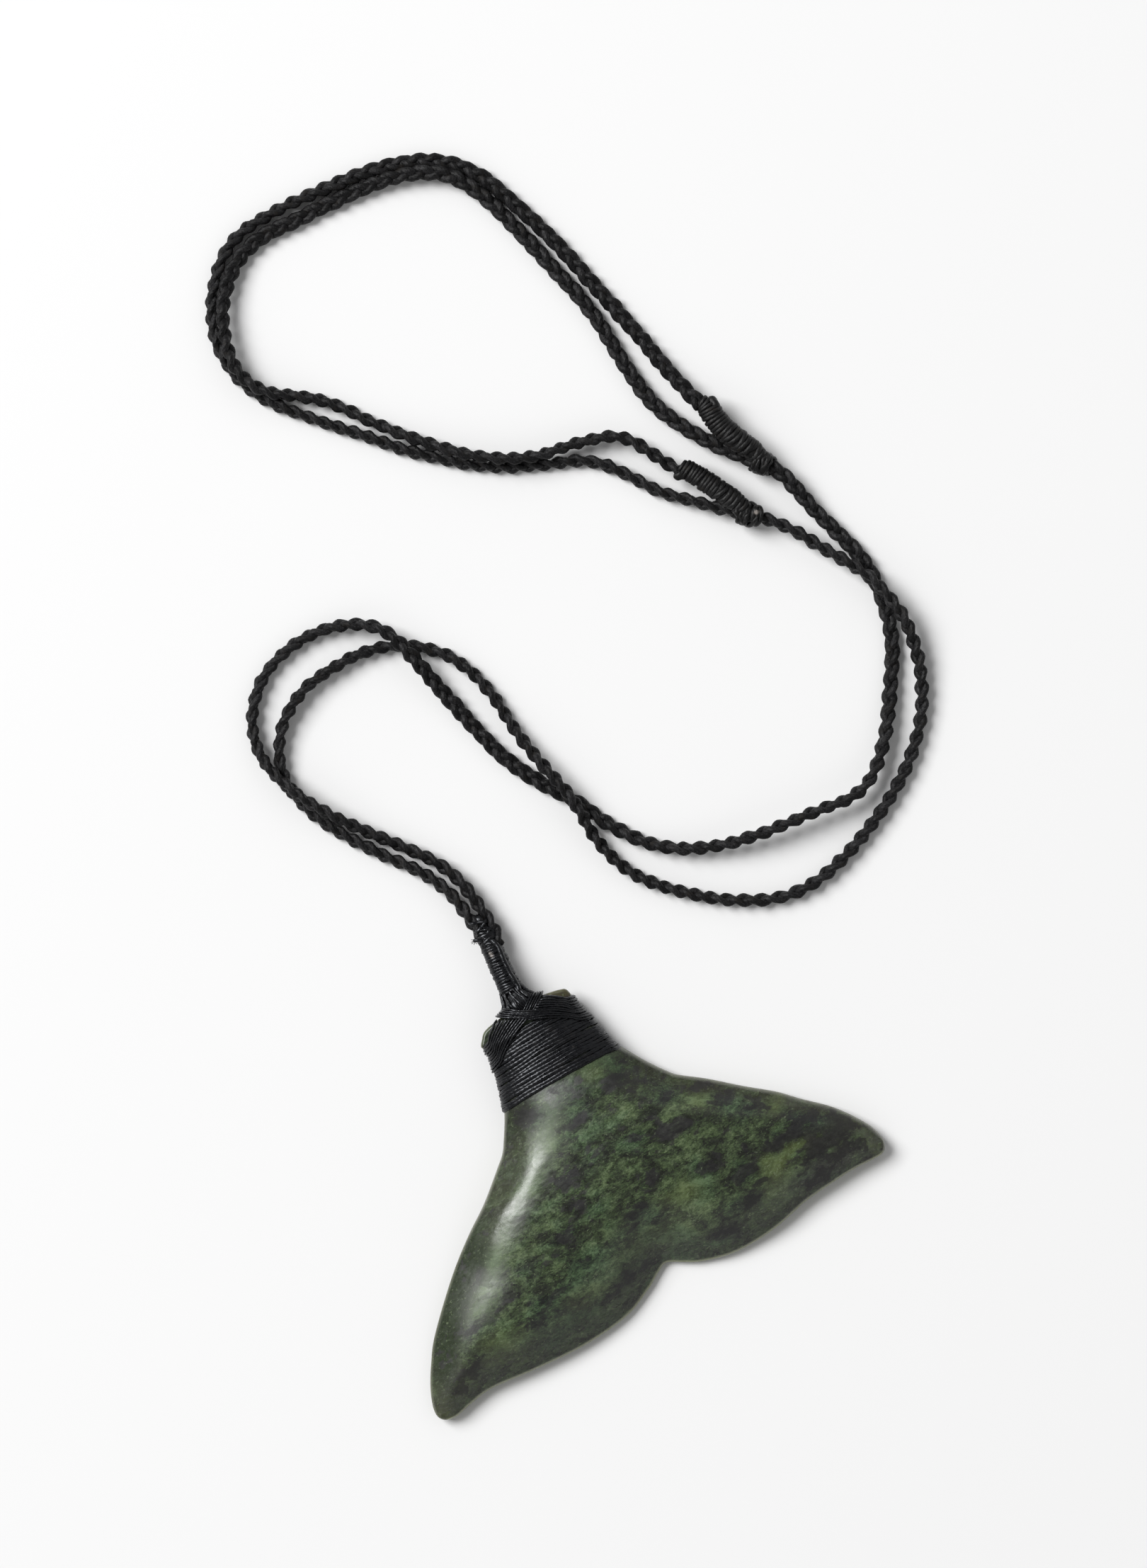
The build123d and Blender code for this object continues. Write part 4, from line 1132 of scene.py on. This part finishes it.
def stem():
    """The wound stem that holds the two cords together, with one smooth strand along its right side."""
    shape = Shape()
    axis = curve_through([
        (0.86, 31.15, 3.05), (0.92, 32.2, 2.95), (1.02, 33.4, 2.85), (1.17, 34.8, 2.75), (1.4, 36.6, 2.6),
        (1.62, 38.4, 2.45), (1.85, 40.2, 2.3), (2.0, 41.2, 2.2),
    ], 0.2)
    wound(shape, axis, STEM_WIDTHS, STEM_DEPTHS, 0.40, 0.22, 71.0, 0.25, 0.10, end=0.66)
    wound(shape, axis, STEM_WIDTHS, STEM_DEPTHS, 0.62, 0.32, 75.0, 0.7, 0.16, 0.62, 0.98)
    strand = curve_through([
        (1.7, 30.6, 4.35), (1.95, 31.6, 4.25), (1.95, 32.8, 4.1), (2.0, 34.4, 3.95), (2.2, 36.2, 3.75),
        (2.4, 37.6, 3.6), (2.3, 38.6, 3.4), (1.9, 39.4, 3.0),
    ], 0.3)
    shape.tube(strand, 0.54, 0.42, 10, taper=0.6, shade=0.2, uneven=0.12, grain=0.9)
    for index in range(7):
        across, level = np.array(SLANTS[index % 2])
        across[::2] += rng.uniform(-0.25, 0.25)
        level[2] -= 0.06 * index
        line = curve_through(np.column_stack([across, 38.3 + 0.62 * index + SLANT_HEIGHTS, level]), 0.25)
        shape.tube(line, 0.30, 0.24, 9, taper=0.3, shade=rng.random(), uneven=0.12, grain=1.2)
    core = curve_through([(1.8, 39.6, 2.2), (2.0, 41.0, 2.15), (2.05, 42.4, 2.1), (2.05, 43.3, 2.1)], 0.3)
    shape.tube(core, 0.9, 0.75, 12, frames=level_frames(core), taper=0.8, shade=0.1, uneven=0.12)
    nub = curve_through([(1.0, 39.5, 3.2), (0.5, 40.05, 3.2), (0.1, 40.3, 3.05), (-0.18, 40.2, 2.95)], 0.2)
    shape.tube(nub, 0.28, 0.26, 8, taper=0.25, shade=0.8, uneven=0.15, grain=2.5)
    root = np.array([0.05, 40.15, 3.0])
    for index in range(6):
        turn = 2.3 + 0.5 * index + rng.uniform(-0.2, 0.2)
        reach = rng.uniform(0.35, 0.75)
        tip = root + reach * np.array([math.cos(turn), math.sin(turn) * 0.9, rng.uniform(-0.3, 0.3)])
        fibre = curve_through([root, (root + tip) / 2 + (0.0, 0.08, 0.08), tip], 0.12)
        shape.tube(fibre, 0.045, 0.045, 5, taper=0.1, shade=0.9)
    shape.make("wound_stem", thread_black, "stem_whipping")


def slide_knot(name, node, axis, widths, eye, eye_heading, nub, seed):
    """The wound end of a cord, a nub of its tail, and its eye round the passing cord."""
    shape = Shape()
    axis = curve_through(axis, 0.3)
    depths = [(place, wide * 0.84) for place, wide in widths]
    wound(shape, axis, widths, depths, 0.52, 0.27, seed, 0.16, 0.16, end=0.50)
    wound(shape, axis, widths, depths, 0.68, 0.37, seed + 3.0, 0.45, 0.26, start=0.44)
    heading = unit(np.array([*eye_heading, 0.0]))
    across = np.cross(heading, UP)
    ball = np.array(eye) + np.linspace(-1.35, 1.35, 12)[:, None] * heading
    frames = np.tile(across, (12, 1)), np.tile(UP, (12, 1))
    shape.tube(ball, 1.42, 1.38, 16, frames=frames, taper=1.0, shade=0.2, uneven=0.10)
    turn = np.linspace(0.0, TURN, 40, endpoint=False)
    outward = beside(0, across, np.cos(turn), UP, np.sin(turn))
    for index in range(EYE_TURNS):
        shift = -1.15 + 0.25 * index + rng.uniform(-0.12, 0.12)
        reach = 1.50 - 0.16 * shift ** 2 + rng.uniform(-0.05, 0.10)
        thick = rng.uniform(0.24, 0.36)
        skew = rng.uniform(-0.75, 0.75)
        swell = ring_noise(turn, seed + index, 1.6)
        shift = shift + skew * np.sin(turn) + 0.35 * swell
        line = beside(eye, heading, shift, outward, reach + 0.22 * swell)
        frames = np.cross(outward, ring_tangents(line)), outward
        shape.tube(
            line, thick * (1 + 0.3 * swell), thick * 0.85, 9, frames=frames, closed=True, shade=rng.random(),
            uneven=0.12,
        )
    shape.tube(curve_through(nub, 0.2), 0.78, 0.7, 12, taper=0.8, uneven=0.10)
    shape.make(name, knot_black, node)


lashing()
root_knot()
stem()
slide_knot(
    "wound_slide_upper", "slide_knot_upper",
    [
        (66.5, 89.0, 2.8), (66.95, 88.0, 2.95), (67.05, 86.0, 3.15), (67.4, 83.9, 3.35), (68.2, 81.6, 3.4),
        (69.2, 79.3, 3.2), (70.1, 77.2, 2.9),
    ],
    [(0, 1.1), (0.06, 1.55), (0.14, 1.72), (0.4, 1.78), (0.6, 1.8), (0.8, 1.68), (0.93, 1.4), (1, 1.0)],
    (69.55, 77.2, 2.3), (-0.636, 0.771), [(67.8, 86.6, 3.5), (68.0, 87.8, 3.3), (67.9, 88.95, 2.9)], 81.0,
)
slide_knot(
    "wound_slide_lower", "slide_knot_lower",
    [
        (59.4, 82.6, 2.5), (60.0, 81.6, 2.7), (61.3, 79.2, 3.05), (62.5, 76.6, 3.25), (63.6, 74.0, 3.1),
        (64.3, 72.0, 2.8),
    ],
    [(0, 1.2), (0.08, 1.55), (0.3, 1.62), (0.55, 1.64), (0.8, 1.62), (0.93, 1.4), (1, 1.0)],
    (64.1, 72.0, 2.3), (-0.755, 0.656), [(59.8, 81.3, 2.7), (58.7, 81.7, 2.6), (57.75, 81.8, 2.4)], 91.0,
)
